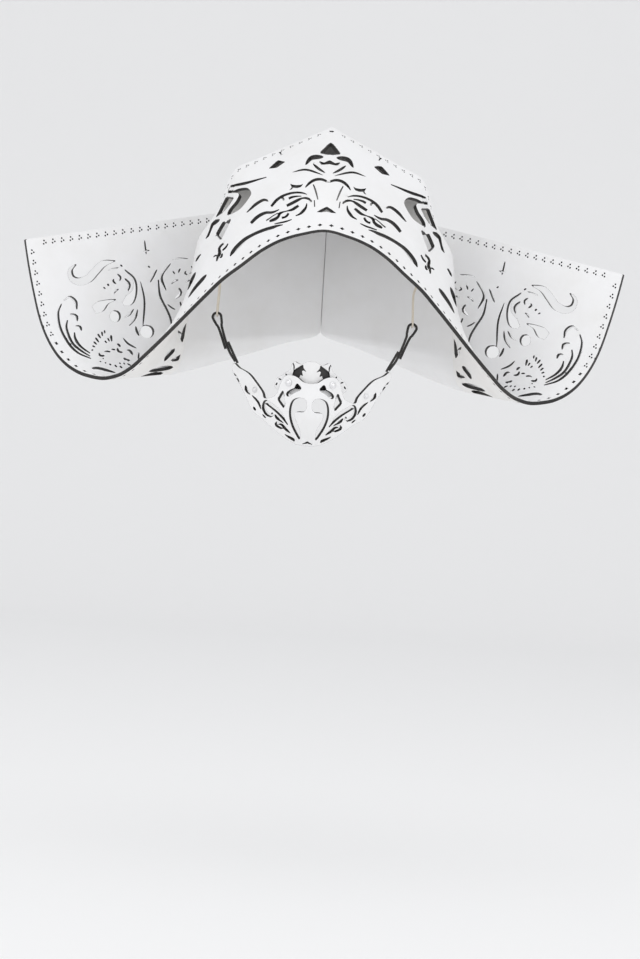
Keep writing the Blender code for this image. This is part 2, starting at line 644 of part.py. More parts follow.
def strap_shape():
    """The folded strap from its edge: a loop round the eye, two layers, then the single foot."""
    ex, ez = STRAP_EYE
    dx, dz = STRAP_END[0] - ex, STRAP_END[1] - ez
    length = math.hypot(dx, dz)
    d = np.array([dx, dz]) / length
    side = np.array([-d[1], d[0]])
    eye = np.array([ex, ez])
    end = np.array(STRAP_END)
    foot = np.array(STRAP_FOOT)
    turn = [math.pi * i / 8 for i in range(9)]
    outline = [eye + LOOP_OUTER * (side * math.cos(a) - d * math.sin(a)) for a in turn]
    outline.append(eye + LOOP_NECK * d - NECK_HALF * side)
    outline.append(end - DOUBLE_HALF * side)
    f = (foot - end) / np.linalg.norm(foot - end)
    across = np.array([-f[1], f[0]])
    outline.append(foot - SINGLE_HALF * across)
    outline.append(foot + SINGLE_HALF * across)
    outline.append(end + 0.2 * DOUBLE_HALF * side + 0.7 * DOUBLE_HALF * d)
    outline.append(end + DOUBLE_HALF * side)
    outline.append(eye + LOOP_NECK * d + NECK_HALF * side)
    hole = [eye + LOOP_INNER * (side * math.cos(a) - d * math.sin(a)) for a in turn]
    hole.append(eye + 0.71 * LOOP_NECK * d)
    return np.array(outline), np.array(hole)


def strap_depth(z):
    return STRAP_LOW_DEPTH + (z - STRAP_LOW) * STRAP_LEAN


def make_strap(name, side, material):
    outline, hole = strap_shape()
    flat, faces = pierced_sheet(outline, [hole], [], 1.0)
    n = len(flat)
    points = []
    for sign in (-1, 1):
        for x, z in flat:
            points.append((side * x + CHIN_ASIDE, strap_depth(z) + sign * 0.5 * STRAP_WIDTH, z))
    if side < 0:
        faces = faces[:, ::-1]
    solid = [tuple(int(i) for i in f) for f in faces]
    solid += [tuple(int(i) + n for i in f[::-1]) for f in faces]
    for a, b in loose_edges(faces):
        solid.append((int(b), int(a), int(a) + n))
        solid.append((int(b), int(a) + n, int(b) + n))
    return add_solid(name, points, solid, material)


def make_rivet(name, x, z, diameter, lift, shank, material):
    """A domed rivet head on its shank."""
    place, n = chin_frame(x, z)
    up = np.array([0.0, 0.0, 1.0])
    right = np.cross(up, n)
    right /= np.linalg.norm(right)
    up = np.cross(n, right)
    r = 0.5 * diameter
    profile = [(0.32 * r, -shank), (0.32 * r, 0.0), (r, 0.0), (r, 0.25), (0.72 * r, 0.85), (0.38 * r, 1.15)]
    count = 12
    points = []
    for radius, height in profile:
        for i in range(count):
            a = 2 * math.pi * i / count
            points.append(place + n * (lift + height) + radius * (right * math.cos(a) + up * math.sin(a)))
    last = len(profile) - 1
    faces = [tuple(range(count))[::-1], tuple(last * count + i for i in range(count))]
    for k in range(last):
        for i in range(count):
            j = (i + 1) % count
            faces.append((k * count + i, k * count + j, (k + 1) * count + j, (k + 1) * count + i))
    return add_solid(name, points, faces, material, smooth=True)


def make_elastic(name, side, material):
    """The thin elastic: up from the strap's eye to the inside of the hood, doubled through the eye."""
    ex, ez = STRAP_EYE
    x0 = side * ex + CHIN_ASIDE
    y0 = strap_depth(ez)
    low = ez + LOOP_INNER - SEAM_GAP - 0.5 * ELASTIC_THICKNESS
    along = side * (STATIONS[5] + 0.35 * (STATIONS[6] - STATIONS[5]))
    ends = []
    for across in ELASTIC_ENDS:
        n = hood_normal(along, across)
        top = hood_point(along, across) - n * (0.5 * HOOD_WALL + SEAM_GAP)
        ends.append((top, top - ELASTIC_STUB * n))
    half = 0.5 * STRAP_WIDTH + ELASTIC_REACH
    near = x0 - side * 0.6
    keys = [ends[0][0], ends[0][1], (near, y0 - half + 0.6, ELASTIC_PASS), (x0, y0 - half, low + 4.0),
            (x0, y0 - half + 1.5, low + 0.2), (x0, y0, low), (x0, y0 + half - 1.5, low + 0.2),
            (x0, y0 + half, low + 4.0), (near, y0 + half - 0.6, ELASTIC_PASS), ends[1][1], ends[1][0]]
    keys = np.array([np.asarray(k, float) for k in keys])
    seg = np.linalg.norm(np.diff(keys, axis=0), axis=1)
    t = np.concatenate(([0.0], np.cumsum(seg)))
    axes = [steady_curve(t, keys[:, i]) for i in range(3)]
    stops = np.unique(np.concatenate([np.linspace(a, b, 4) for a, b in zip(t[:-1], t[1:])]))
    path = np.stack([axis(stops) for axis in axes], axis=1)
    curve = bpy.data.curves.new(name, "CURVE")
    curve.dimensions = "3D"
    curve.bevel_depth = 0.5 * ELASTIC_THICKNESS * MM
    curve.bevel_resolution = 2
    curve.use_fill_caps = True
    spline = curve.splines.new("POLY")
    spline.points.add(len(path) - 1)
    for point, p in zip(spline.points, path):
        point.co = (*(p * MM), 1.0)
    curve.materials.append(material)
    node = bpy.data.objects.new(name, curve)
    bpy.context.scene.collection.objects.link(node)
    return node


def make_cornette():
    white = leather("white_leather", (0.86, 0.86, 0.87), 0.55)
    plain = leather("plain_leather", (0.80, 0.80, 0.79), 0.6)
    elastic = leather("beige_elastic", (0.62, 0.54, 0.42), 0.7)
    metal = leather("pale_rivet", (0.80, 0.80, 0.82), 0.35)
    make_hood(white)
    make_crown_back(plain)
    make_back_strip(plain)
    shank_holes = [circle(*UPPER_RIVET, UPPER_SHANK_HOLE), circle(*LOWER_RIVET, LOWER_SHANK_HOLE)]
    chin_holes = [leaf_outline(r) for r in CHIN_LEAVES] + [band_outline(r, 6) for r in CHIN_BANDS]
    chin_holes += [np.array(r[1:]) for r in CHIN_CUTS] + shank_holes
    make_chin_part("chin_piece", CHIN_OUTLINE, chin_holes, 0.0, CHIN_WALL, white)
    behind = -(0.5 * CHIN_WALL + SEAM_GAP + 0.5 * PLATE_WALL)
    plate_holes = [np.array(r[1:]) for r in PLATE_CUTS] + shank_holes[:1]
    make_chin_part("mouth_plate", PLATE_OUTLINE, plate_holes, behind, PLATE_WALL, white)
    for word, side in (("left", 1), ("right", -1)):
        make_strap("strap_" + word, side, white)
        make_elastic("elastic_" + word, side, elastic)
        lift = 0.5 * CHIN_WALL + SEAM_GAP
        make_rivet("upper_rivet_" + word, side * UPPER_RIVET[0], UPPER_RIVET[1], RIVET_UPPER, lift,
                   CHIN_WALL + PLATE_WALL + 0.8, metal)
        make_rivet("lower_rivet_" + word, side * LOWER_RIVET[0], LOWER_RIVET[1], RIVET_LOWER, lift,
                   CHIN_WALL + 0.6, metal)


if __name__ == "__main__":
    make_cornette()
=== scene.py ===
import math

import bpy
import numpy as np
from mathutils import Matrix
from mathutils.geometry import delaunay_2d_cdt


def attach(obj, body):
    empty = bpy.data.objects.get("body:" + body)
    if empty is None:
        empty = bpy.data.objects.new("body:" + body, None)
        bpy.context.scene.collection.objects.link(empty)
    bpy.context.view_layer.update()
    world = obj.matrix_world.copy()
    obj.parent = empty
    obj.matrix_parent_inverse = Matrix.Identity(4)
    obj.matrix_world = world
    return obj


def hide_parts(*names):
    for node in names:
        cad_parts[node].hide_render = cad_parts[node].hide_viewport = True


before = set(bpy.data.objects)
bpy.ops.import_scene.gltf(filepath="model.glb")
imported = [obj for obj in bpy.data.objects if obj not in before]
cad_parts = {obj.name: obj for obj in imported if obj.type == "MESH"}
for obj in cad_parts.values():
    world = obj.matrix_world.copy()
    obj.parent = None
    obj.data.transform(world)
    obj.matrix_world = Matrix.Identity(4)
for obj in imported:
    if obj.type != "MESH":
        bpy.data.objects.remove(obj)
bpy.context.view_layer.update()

# Cornette of white pierced leather with painted black edges. X is the wearer's left, -Y the front, Z up.
# Lengths are millimetres, apart from the studio's, which are metres. Leaves and cuts are charted as seen
# from in front, on an upright plane, and then carried to the curved leather.

MM = 0.001

# Leather walls, gaps, fasteners and the finish of the edges
HOOD_WALL = 2.6
HOOD_SWELL = 0.4
CHIN_WALL = 3.0
PLATE_WALL = 1.1
LINING_WALL = 0.5
BACK_WALL = 2.0
SEAM_GAP = 0.3
STRAP_WIDTH = 9.0
STRAP_WALL = 1.9
ELASTIC_THICKNESS = 1.4
RIVET_UPPER = 5.8
RIVET_LOWER = 4.4
CHIN_ASIDE = -4.4
SHEET_DEPTH = 150.0
EDGE_ROUND = 0.12
EDGE_BAND = 0.36
# Heights on the crown panel between which painted shade darkens its inside toward the top
SHADE_FROM = 25.0
SHADE_TO = 80.0

# Where the chart is seen from, its plane, and the picture's height in pixels and millimetres to a pixel
SIGHT_ASIDE = 6.8
SIGHT_BACK = -2060.0
SIGHT_HEIGHT = -171.0
SIGHT_TURN = 3.35
CHART_DEPTH = -60.0
PICTURE_HEIGHT = 959
PIXEL_SIZE = 0.77
SENSOR_WIDTH = 36.0

# The hood's lines from the middle to a wing's end: rim x, z and depth, back x, z and depth
HOOD_LINES = (
    (0.0, 20.3, -133.0, 0.0, 99.0, -25.0),
    (19.0, 16.4, -131.5, 22.0, 88.2, -20.0),
    (34.0, 10.9, -128.0, 41.0, 78.8, -14.0),
    (48.0, 2.5, -123.0, 57.0, 70.9, -8.0),
    (62.5, -9.5, -116.0, 71.0, 63.5, 0.0),
    (77.0, -21.6, -108.0, 84.0, 29.0, 12.0),
    (89.0, -34.4, -101.0, 97.0, 6.0, 19.0),
    (103.0, -50.0, -92.0, 100.0, -16.0, 20.0),
    (119.0, -68.0, -81.0, 102.5, -42.0, 18.0),
    (133.0, -83.0, -72.0, 104.0, -66.0, 15.0),
    (144.0, -94.0, -66.0, 106.0, -82.0, 17.0),
    (154.5, -100.5, -62.0, 109.0, -91.5, 26.0),
    (165.5, -103.0, -60.0, 114.0, -96.0, 42.0),
    (179.0, -101.0, -58.0, 92.0, -89.5, 60.0),
    (188.5, -97.1, -56.0, 62.0, -79.0, 77.0),
    (198.8, -89.2, -54.0, 28.0, -67.0, 97.0),
    (208.6, -75.8, -52.0, 0.9, -57.0, 112.0),
    (216.0, -59.5, -50.0, 0.9, -30.0, 112.0),
    (221.5, -41.0, -48.0, 0.9, -5.0, 112.0),
    (227.0, -19.0, -46.0, 0.9, 22.0, 112.0),
    (231.0, 0.0, -44.0, 0.9, 46.0, 112.0),
)
FIRST_SIDE_LINE = 5
FOLD_LINE = 12
SEAM_LINE = 16
CROWN_SWELL = 8.0
SWELL_FORWARD = 0.55
SWELL_UP = 0.83

# Leaves: start, bend and end as x and z, greatest width, where the belly lies, bluntness
CROWN_LEAVES = (
    ("crescent", 17.9, 69.0, 13.5, 74.7, 4.4, 76.0, 3.6, 0.60, 0.6),
    ("short leaf", 12.2, 70.3, 7.8, 66.8, 2.5, 63.8, 1.9, 0.40, 0.7),
    ("whisker", 27.6, 62.9, 17.1, 65.4, 4.1, 62.1, 1.5, 0.50, 0.8),
    ("cross post", 39.8, 81.0, 38.2, 78.0, 36.9, 75.6, 1.0, 0.50, 0.4),
    ("cross bar", 39.0, 77.3, 38.2, 77.3, 37.2, 77.5, 0.9, 0.50, 0.4),
    ("sliver", 79.4, 41.7, 81.7, 37.2, 83.2, 32.8, 0.9, 0.50, 0.6),
    ("flower side", 84.0, -5.6, 82.7, -4.4, 80.8, -4.2, 1.1, 0.50, 0.5),
    ("flower lobe", 77.1, -2.1, 77.8, -5.0, 79.2, -5.6, 1.6, 0.50, 0.5),
)

# Bands, by points along their middle as x, z and width
CROWN_BANDS = (
    ("lower arc", (1.1, 57.4, 1.6), (4.5, 58.6, 1.9), (8.2, 58.5, 2.1), (11.5, 57.2, 2.1),
     (14.6, 54.7, 1.8), (16.8, 51.8, 0.7)),
    ("stem", (11.0, 54.4, 0.7), (8.9, 49.5, 1.2), (6.8, 43.0, 0.7)),
    ("stem foot", (9.5, 42.4, 0.6), (9.0, 37.4, 0.7)),
    ("big arc", (15.9, 46.7, 0.6), (19.4, 47.5, 1.3), (24.3, 47.4, 1.5), (29.3, 46.2, 1.7),
     (34.4, 43.9, 1.9), (38.5, 40.5, 2.2), (41.8, 36.1, 1.8)),
    ("arc hook", (32.8, 40.9, 1.2), (33.2, 42.2, 1.4), (34.7, 43.2, 1.5)),
    ("arc line", (19.6, 44.9, 0.6), (23.5, 44.5, 1.2), (27.0, 43.6, 1.7), (29.0, 42.5, 1.7)),
    ("hook arc", (11.7, 40.8, 0.6), (13.1, 42.7, 1.6), (15.7, 43.6, 1.7), (18.7, 43.4, 1.2),
     (21.7, 41.9, 2.1), (25.8, 39.4, 2.3), (30.2, 36.9, 2.0)),
    ("curl", (15.1, 39.5, 0.6), (15.6, 36.4, 1.6), (17.7, 33.3, 2.2), (20.0, 31.1, 1.5), (23.0, 29.6, 0.6)),
    ("seed", (21.3, 37.5, 1.8), (23.8, 35.6, 2.2), (26.2, 34.0, 1.9), (30.1, 32.8, 0.8), (33.1, 31.8, 1.3),
     (35.4, 30.5, 2.1), (36.0, 28.4, 2.0), (38.4, 26.2, 2.4), (40.9, 25.1, 2.2), (42.6, 24.2, 1.3)),
    ("bud line", (36.6, 31.0, 0.6), (40.2, 28.6, 0.7), (43.0, 26.3, 0.8), (45.1, 24.8, 1.0)),
    ("bud tip", (28.5, 31.2, 1.5), (29.7, 29.2, 1.7), (31.6, 27.9, 1.5), (33.4, 27.5, 1.7)),
    ("bud foot", (25.8, 26.6, 0.6), (30.1, 24.8, 1.2), (34.1, 23.7, 1.1), (38.6, 22.5, 0.6)),
    ("low leaf", (35.9, 33.7, 0.6), (39.0, 32.0, 1.4), (42.0, 31.0, 1.9), (45.5, 30.8, 2.1),
     (49.5, 29.0, 2.5), (53.2, 26.1, 2.6), (56.7, 22.1, 2.2)),
    ("leaf", (44.9, 39.8, 1.3), (47.4, 40.6, 1.9), (50.6, 39.2, 2.2), (54.6, 36.2, 2.2), (57.8, 32.9, 1.5),
     (60.5, 30.2, 0.6)),
    ("long leaf", (32.4, 22.1, 0.6), (36.7, 21.0, 1.6), (40.7, 19.4, 2.5), (45.8, 17.6, 2.5),
     (50.8, 15.4, 2.3), (55.4, 12.9, 2.3), (60.8, 9.2, 2.8), (66.2, 3.4, 3.3), (69.4, -0.9, 2.6),
     (71.0, -4.0, 0.7)),
    ("spear", (47.3, 57.9, 0.6), (52.9, 56.0, 1.2), (59.0, 53.8, 1.8), (64.8, 52.0, 2.2), (70.6, 50.7, 1.8),
     (74.0, 50.0, 0.7)),
    ("flower stem", (76.8, 5.5, 1.3), (78.8, 3.5, 1.6), (79.9, 1.0, 2.0), (79.2, -2.2, 2.6),
     (80.6, -5.2, 2.0), (81.3, -8.5, 0.9)),
    ("flower leaf", (73.2, 5.5, 0.9), (74.9, 2.5, 1.4), (77.0, 0.3, 1.2)),
)
CROWN_CUTS = (
    ("diamond", (45.9, 64.6), (39.1, 71.5), (33.5, 70.5), (39.8, 65.6)),
    ("notched bar", (18.6, 54.6), (20.6, 53.5), (24.0, 53.1), (26.8, 53.3), (28.7, 54.0), (27.6, 52.1),
     (27.3, 51.1), (29.1, 48.9), (27.1, 49.8), (26.4, 51.0), (23.2, 50.9), (20.4, 51.8)),
    ("side window", (77.2, 41.3), (70.9, 40.8), (72.3, 38.3), (78.0, 30.3), (84.2, 25.6)),
    ("low window", (80.7, 24.2), (83.3, 23.8), (87.4, 20.2), (88.8, 14.4), (91.2, 7.8), (88.5, 10.1),
     (86.7, 15.5), (85.4, 18.9), (80.9, 22.7)),
    ("middle window", (78.3, 22.4), (76.1, 21.8), (71.9, 24.4), (74.4, 18.1), (78.6, 8.3), (83.2, 12.8),
     (80.6, 18.2)),
)
HOOKED_WINDOW = (
    (75.6, 46.2), (71.8, 46.4), (68.1, 48.0), (63.3, 49.0), (60.5, 48.5), (58.4, 46.2), (58.3, 43.8),
    (60.0, 40.4), (62.6, 36.4), (66.2, 32.2), (70.8, 29.3), (73.6, 28.1), (75.1, 29.0), (73.8, 32.4),
    (69.4, 38.4), (67.3, 43.3), (67.9, 44.7), (71.7, 44.9), (75.0, 44.7),
)

# Cuts across the middle line of the crown, by their right half
MIDDLE_CUTS = (
    ("arrowhead", (0.0, 87.2), (7.2, 78.9), (0.0, 77.8)),
    ("bracket", (0.0, 73.6), (3.8, 71.6), (7.4, 72.5), (4.6, 69.9), (0.0, 70.6)),
    ("chevron", (0.0, 37.9), (3.6, 35.9), (7.2, 33.4), (3.4, 33.4), (0.0, 34.2)),
)
APEX_TICK = (("apex tick", 1.8, 98.4, 0.9, 96.6, 0.2, 95.2, 0.9, 0.50, 0.5),)

WING_LEAVES = (
    ("long slit", 140.9, -27.3, 137.1, -42.0, 137.1, -61.5, 1.3, 0.60, 0.6),
    ("curl outer", 159.1, -22.4, 156.4, -24.8, 157.0, -27.8, 1.3, 0.50, 0.5),
    ("curl inner", 161.4, -26.4, 162.0, -28.0, 159.7, -30.2, 1.3, 0.50, 0.5),
    ("first seed", 166.3, -30.5, 165.6, -31.2, 164.9, -31.9, 1.3, 0.50, 0.4),
    ("second seed", 169.2, -33.2, 168.4, -33.8, 167.5, -34.3, 0.9, 0.50, 0.4),
    ("arc", 153.3, -25.4, 149.3, -29.8, 150.1, -34.9, 1.8, 0.50, 0.5),
    ("tick", 160.7, -37.6, 159.3, -35.3, 157.3, -34.0, 1.1, 0.50, 0.5),
    ("low tick", 151.1, -38.3, 149.2, -39.3, 147.5, -40.6, 1.1, 0.50, 0.5),
    ("scroll tick", 157.2, -15.2, 156.4, -15.8, 155.6, -16.5, 1.1, 0.50, 0.4),
    ("faint arc", 166.6, -20.1, 162.9, -18.6, 158.3, -17.5, 0.8, 0.50, 0.6),
    ("side tick", 135.8, -14.8, 135.1, -15.5, 134.4, -16.1, 1.0, 0.50, 0.4),
    ("disc", 159.4, -50.4, 158.8, -55.1, 158.8, -59.8, 8.6, 0.50, 0.5),
    ("slash", 144.9, -48.6, 147.5, -52.8, 151.6, -55.7, 1.2, 0.50, 0.6),
    ("low slash", 141.9, -48.8, 143.2, -55.3, 147.7, -61.9, 1.4, 0.50, 0.6),
    ("disc slash", 142.7, -61.8, 141.6, -65.6, 139.6, -69.2, 1.6, 0.50, 0.5),
    ("low disc", 134.2, -60.3, 133.7, -65.5, 133.6, -70.7, 11.0, 0.50, 0.5),
    ("sweep", 151.8, -71.5, 147.8, -75.6, 141.2, -78.7, 1.3, 0.50, 0.6),
    ("drop slit", 139.0, -82.0, 139.2, -85.4, 139.0, -89.2, 1.2, 0.50, 0.5),
    ("second hook", 193.5, -55.3, 188.5, -56.6, 187.6, -60.8, 1.9, 0.50, 0.6),
    ("third hook", 188.8, -64.3, 185.1, -64.9, 184.0, -68.0, 1.8, 0.50, 0.6),
    ("bottom leaf", 174.4, -96.7, 167.4, -96.8, 155.6, -99.3, 2.5, 0.25, 0.6),
    ("ray one", 175.4, -82.7, 174.9, -82.4, 174.2, -82.0, 1.1, 0.50, 0.4),
    ("ray two", 175.0, -78.9, 174.0, -79.4, 172.7, -79.9, 1.1, 0.40, 0.5),
    ("ray three", 174.2, -75.7, 173.1, -76.6, 171.6, -77.9, 1.2, 0.35, 0.5),
    ("ray four", 173.0, -72.5, 171.7, -74.1, 170.0, -76.1, 1.3, 0.30, 0.5),
    ("ray five", 171.4, -69.5, 170.3, -71.0, 168.9, -72.8, 1.3, 0.30, 0.5),
    ("ray six", 168.4, -67.6, 168.1, -69.1, 167.6, -71.1, 1.2, 0.30, 0.5),
    ("ray seven", 166.4, -66.3, 166.2, -67.5, 165.9, -68.9, 1.0, 0.30, 0.5),
    ("short ray", 165.7, -74.5, 165.0, -75.2, 164.0, -76.2, 1.0, 0.35, 0.5),
    ("middle ray", 163.6, -72.3, 162.9, -73.4, 162.0, -74.8, 1.1, 0.30, 0.5),
    ("long ray", 161.2, -69.8, 160.8, -72.1, 160.3, -74.8, 1.5, 0.25, 0.5),
    ("curl cap", 156.3, -76.5, 154.8, -76.9, 153.5, -78.6, 1.5, 0.60, 0.4),
    ("curl bowl", 155.8, -79.5, 154.6, -82.2, 151.4, -82.7, 1.6, 0.40, 0.5),
    ("brow dash", 160.3, -80.8, 158.9, -80.8, 157.3, -81.1, 1.1, 0.60, 0.4),
    ("brow", 165.7, -83.3, 163.7, -82.6, 160.8, -83.0, 1.2, 0.65, 0.5),
    ("lip hook", 169.6, -84.2, 168.4, -86.4, 165.0, -86.2, 1.6, 0.50, 0.5),
    ("lip dot", 166.5, -88.4, 166.1, -88.5, 165.6, -88.5, 0.9, 0.50, 0.4),
    ("low dot one", 168.7, -91.1, 168.0, -91.0, 167.3, -90.9, 0.8, 0.50, 0.4),
    ("low dot two", 164.6, -92.0, 164.2, -91.8, 163.6, -91.6, 1.1, 0.50, 0.4),
    ("low dot three", 161.1, -92.3, 160.4, -92.8, 159.6, -93.2, 1.2, 0.50, 0.4),
    ("low dash one", 157.2, -92.8, 156.3, -93.5, 155.2, -94.3, 1.1, 0.50, 0.5),
    ("low dash two", 153.3, -93.3, 152.3, -93.9, 151.2, -94.7, 1.1, 0.50, 0.5),
    ("high dash one", 153.7, -90.8, 153.1, -91.3, 152.5, -91.8, 0.9, 0.50, 0.4),
    ("high dash two", 150.6, -90.7, 149.9, -91.2, 149.2, -91.7, 0.9, 0.50, 0.4),
    ("high dash three", 147.7, -91.0, 146.2, -91.6, 144.5, -92.3, 0.9, 0.50, 0.5),
    ("shell arc", 148.6, -80.7, 146.0, -81.1, 143.6, -84.1, 1.8, 0.50, 0.5),
    ("shell wave", 150.7, -86.8, 148.4, -88.3, 145.5, -88.4, 1.8, 0.50, 0.5),
    ("inner c", 118.6, -11.8, 124.9, -22.2, 120.9, -33.0, 1.5, 0.50, 0.6),
    ("inner top arc", 117.5, -8.6, 112.2, -7.5, 105.5, -7.4, 0.8, 0.50, 0.6),
    ("inner disc", 111.3, -30.1, 109.8, -34.6, 114.3, -38.9, 2.4, 0.50, 0.5),
    ("inner slash", 128.8, -17.1, 131.0, -21.8, 133.5, -27.4, 1.3, 0.50, 0.5),
    ("inner low slash", 119.3, -43.3, 116.5, -45.5, 113.1, -47.2, 1.0, 0.50, 0.5),
    ("inner bar", 109.8, -40.8, 109.1, -42.7, 108.2, -44.9, 1.1, 0.50, 0.5),
    ("inner curl", 103.0, -12.9, 100.9, -15.7, 103.9, -19.0, 1.3, 0.50, 0.5),
    ("inner bowl", 106.4, -17.0, 107.4, -18.6, 105.4, -19.9, 1.1, 0.50, 0.5),
    ("inner stroke", 111.0, -15.3, 111.8, -17.0, 112.3, -18.7, 1.1, 0.50, 0.5),
    ("inner short stroke", 116.7, -17.6, 115.9, -18.7, 114.9, -19.9, 0.8, 0.50, 0.5),
    ("inner brow", 117.1, -27.7, 115.3, -25.4, 112.0, -24.1, 1.2, 0.50, 0.5),
    ("inner dash", 106.4, -25.3, 104.9, -24.6, 103.2, -23.9, 0.9, 0.50, 0.5),
    ("cross post", 139.7, 4.7, 138.8, -0.6, 137.8, -5.9, 1.0, 0.50, 0.4),
    ("cross bar", 140.2, -4.0, 138.0, -3.4, 135.5, -2.7, 0.9, 0.50, 0.4),
)

# Bands, by points along their middle as x, z and width
WING_BANDS = (
    ("scroll", (191.1, -17.0, 0.7), (195.0, -21.4, 3.3), (193.7, -27.4, 4.7), (188.1, -29.9, 5.7),
     (180.9, -27.3, 6.3), (175.8, -21.3, 6.3), (169.8, -15.0, 5.0), (161.4, -12.4, 0.7)),
    ("crescent", (153.3, -19.0, 0.7), (146.1, -25.4, 2.0), (144.8, -34.2, 3.7), (148.6, -41.8, 8.0),
     (153.3, -45.3, 2.9)),
    ("drop", (159.2, -42.2, 0.7), (165.1, -44.2, 3.5), (170.3, -48.0, 8.5), (175.4, -51.2, 6.1)),
    ("first hook", (199.0, -45.2, 0.7), (194.3, -42.2, 1.5), (189.7, -45.7, 2.2), (188.5, -51.5, 0.7)),
    ("first plume", (200.6, -48.3, 0.7), (202.6, -55.3, 1.4), (200.2, -67.0, 1.8), (193.2, -78.4, 1.8),
     (185.4, -85.3, 1.4), (175.5, -89.1, 0.7)),
    ("second plume", (195.2, -60.3, 0.7), (195.5, -66.7, 1.5), (190.8, -77.2, 1.8), (184.0, -83.0, 1.5),
     (176.4, -87.2, 0.7)),
    ("third plume", (189.3, -69.5, 0.7), (188.2, -74.6, 1.7), (183.7, -80.2, 1.5), (176.4, -84.9, 0.7)),
    ("inner stem", (127.4, -25.3, 0.7), (125.2, -37.5, 1.5), (119.7, -47.5, 1.6), (116.4, -54.2, 1.5),
     (115.1, -60.0, 0.7)),
)

SIDE_LEAVES = (
    ("long slit", 96.9, -17.6, 101.6, -28.8, 104.6, -35.6, 2.5, 0.30, 0.6),
    ("rim slit", 88.4, -19.3, 96.6, -29.9, 101.5, -38.0, 2.7, 0.25, 0.6),
    ("high slash", 93.5, -3.5, 95.4, -5.7, 97.5, -9.6, 1.5, 0.50, 0.6),
)
UNDER_LEAVES = (
    ("upright slash", 102.1, -54.3, 105.2, -62.4, 107.3, -70.8, 3.6, 0.50, 0.6),
    ("under slash", 110.5, -62.5, 107.9, -67.0, 106.6, -71.5, 2.4, 0.50, 0.6),
    ("under dart", 112.0, -77.0, 116.2, -81.0, 119.6, -86.4, 3.4, 0.40, 0.6),
    ("under hook", 104.9, -80.4, 109.4, -83.8, 114.5, -85.6, 3.0, 0.40, 0.6),
    ("under leaf", 112.3, -90.3, 121.0, -92.0, 130.7, -94.6, 3.4, 0.35, 0.6),
    ("under blade", 119.4, -94.9, 129.5, -97.4, 140.1, -101.2, 3.2, 0.35, 0.6),
    ("under seed", 114.8, -96.2, 119.0, -98.6, 122.9, -101.0, 2.6, 0.40, 0.6),
)

CHIN_OUTLINE = (
    (0.0, -99.6), (5.1, -98.5), (9.1, -95.4), (13.0, -93.8), (16.9, -93.5), (20.0, -95.5), (21.9, -99.7),
    (23.4, -104.6), (25.4, -109.0), (29.1, -111.0), (34.0, -111.5), (35.8, -107.0), (40.8, -100.4),
    (47.4, -93.1), (55.4, -88.6), (59.3, -85.3), (60.3, -90.2), (57.7, -95.4), (53.5, -101.8),
    (48.5, -110.5), (42.4, -121.4), (34.2, -127.3), (25.0, -134.4), (17.5, -140.0), (9.0, -144.2),
    (2.4, -145.4), (0.0, -145.4),
)
CHIN_LEAVES = (
    ("arm slit", 58.6, -93.2, 56.3, -96.6, 54.2, -99.6, 1.1, 0.50, 0.6),
    ("arm leaf", 49.2, -102.2, 47.9, -106.1, 45.0, -109.3, 2.2, 0.40, 0.7),
    ("arm line", 43.6, -109.8, 38.7, -114.3, 35.9, -120.0, 1.6, 0.50, 0.7),
    ("arm seed", 42.0, -118.2, 41.0, -119.7, 39.9, -121.0, 1.6, 0.50, 0.6),
    ("arm dash", 34.7, -123.6, 33.2, -125.0, 31.7, -126.4, 1.0, 0.50, 0.6),
)
CHIN_BANDS = (
    ("blade", (33.4, -113.6, 1.2), (31.0, -114.9, 3.3), (28.0, -117.0, 3.4), (24.0, -119.8, 3.5),
     (20.2, -123.5, 2.9), (17.3, -127.5, 1.3), (15.0, -130.3, 0.7)),
    ("hook loop", (33.4, -113.8, 1.4), (34.0, -116.5, 2.4), (33.4, -120.0, 2.8), (31.2, -123.0, 2.8),
     (28.4, -124.4, 2.2), (26.9, -123.8, 1.6), (27.4, -122.2, 0.9)),
)
CHIN_SCROLLS = (
    ("big scroll", (1.8, -114.8), (3.3, -111.4), (7.8, -110.4), (12.0, -112.2), (14.0, -116.7),
     (14.2, -123.4), (12.4, -130.2), (9.5, -135.9), (6.0, -140.9), (5.3, -138.4), (6.1, -133.1),
     (8.2, -128.6), (10.0, -124.6), (9.4, -121.1), (4.0, -120.7), (1.9, -118.2)),
    ("kidney", (17.2, -107.3), (15.0, -105.0), (11.2, -103.2), (7.7, -102.0), (6.9, -104.5), (9.8, -106.1),
     (12.2, -107.7), (14.4, -109.5), (16.6, -109.6)),
    ("low hook", (12.5, -136.7), (14.8, -133.8), (17.8, -130.8), (21.4, -129.0), (23.6, -128.6),
     (24.8, -129.8), (24.6, -131.3), (23.0, -132.7), (19.6, -134.0), (18.4, -133.4), (20.6, -132.2),
     (22.9, -130.8), (20.2, -131.1), (16.6, -134.7)),
)
CHIN_CUTS = (
    ("arrow cut", (20.0, -105.2), (23.6, -112.3), (18.5, -118.6), (17.6, -114.3), (18.6, -110.5)),
    ("arm triangle", (54.2, -101.2), (52.2, -101.6), (53.3, -102.8)),
    ("low leaf", (17.7, -129.8), (20.9, -126.9), (25.3, -123.0), (24.7, -125.7), (23.8, -126.7),
     (20.9, -128.3)),
    ("bottom leaf", (8.9, -142.6), (9.4, -140.5), (11.0, -139.6), (14.0, -138.5), (17.2, -137.3),
     (13.0, -140.7)),
    ("kidney peak", (9.5, -99.5), (6.2, -103.3), (7.6, -105.2), (11.6, -104.8), (11.4, -103.2)),
)
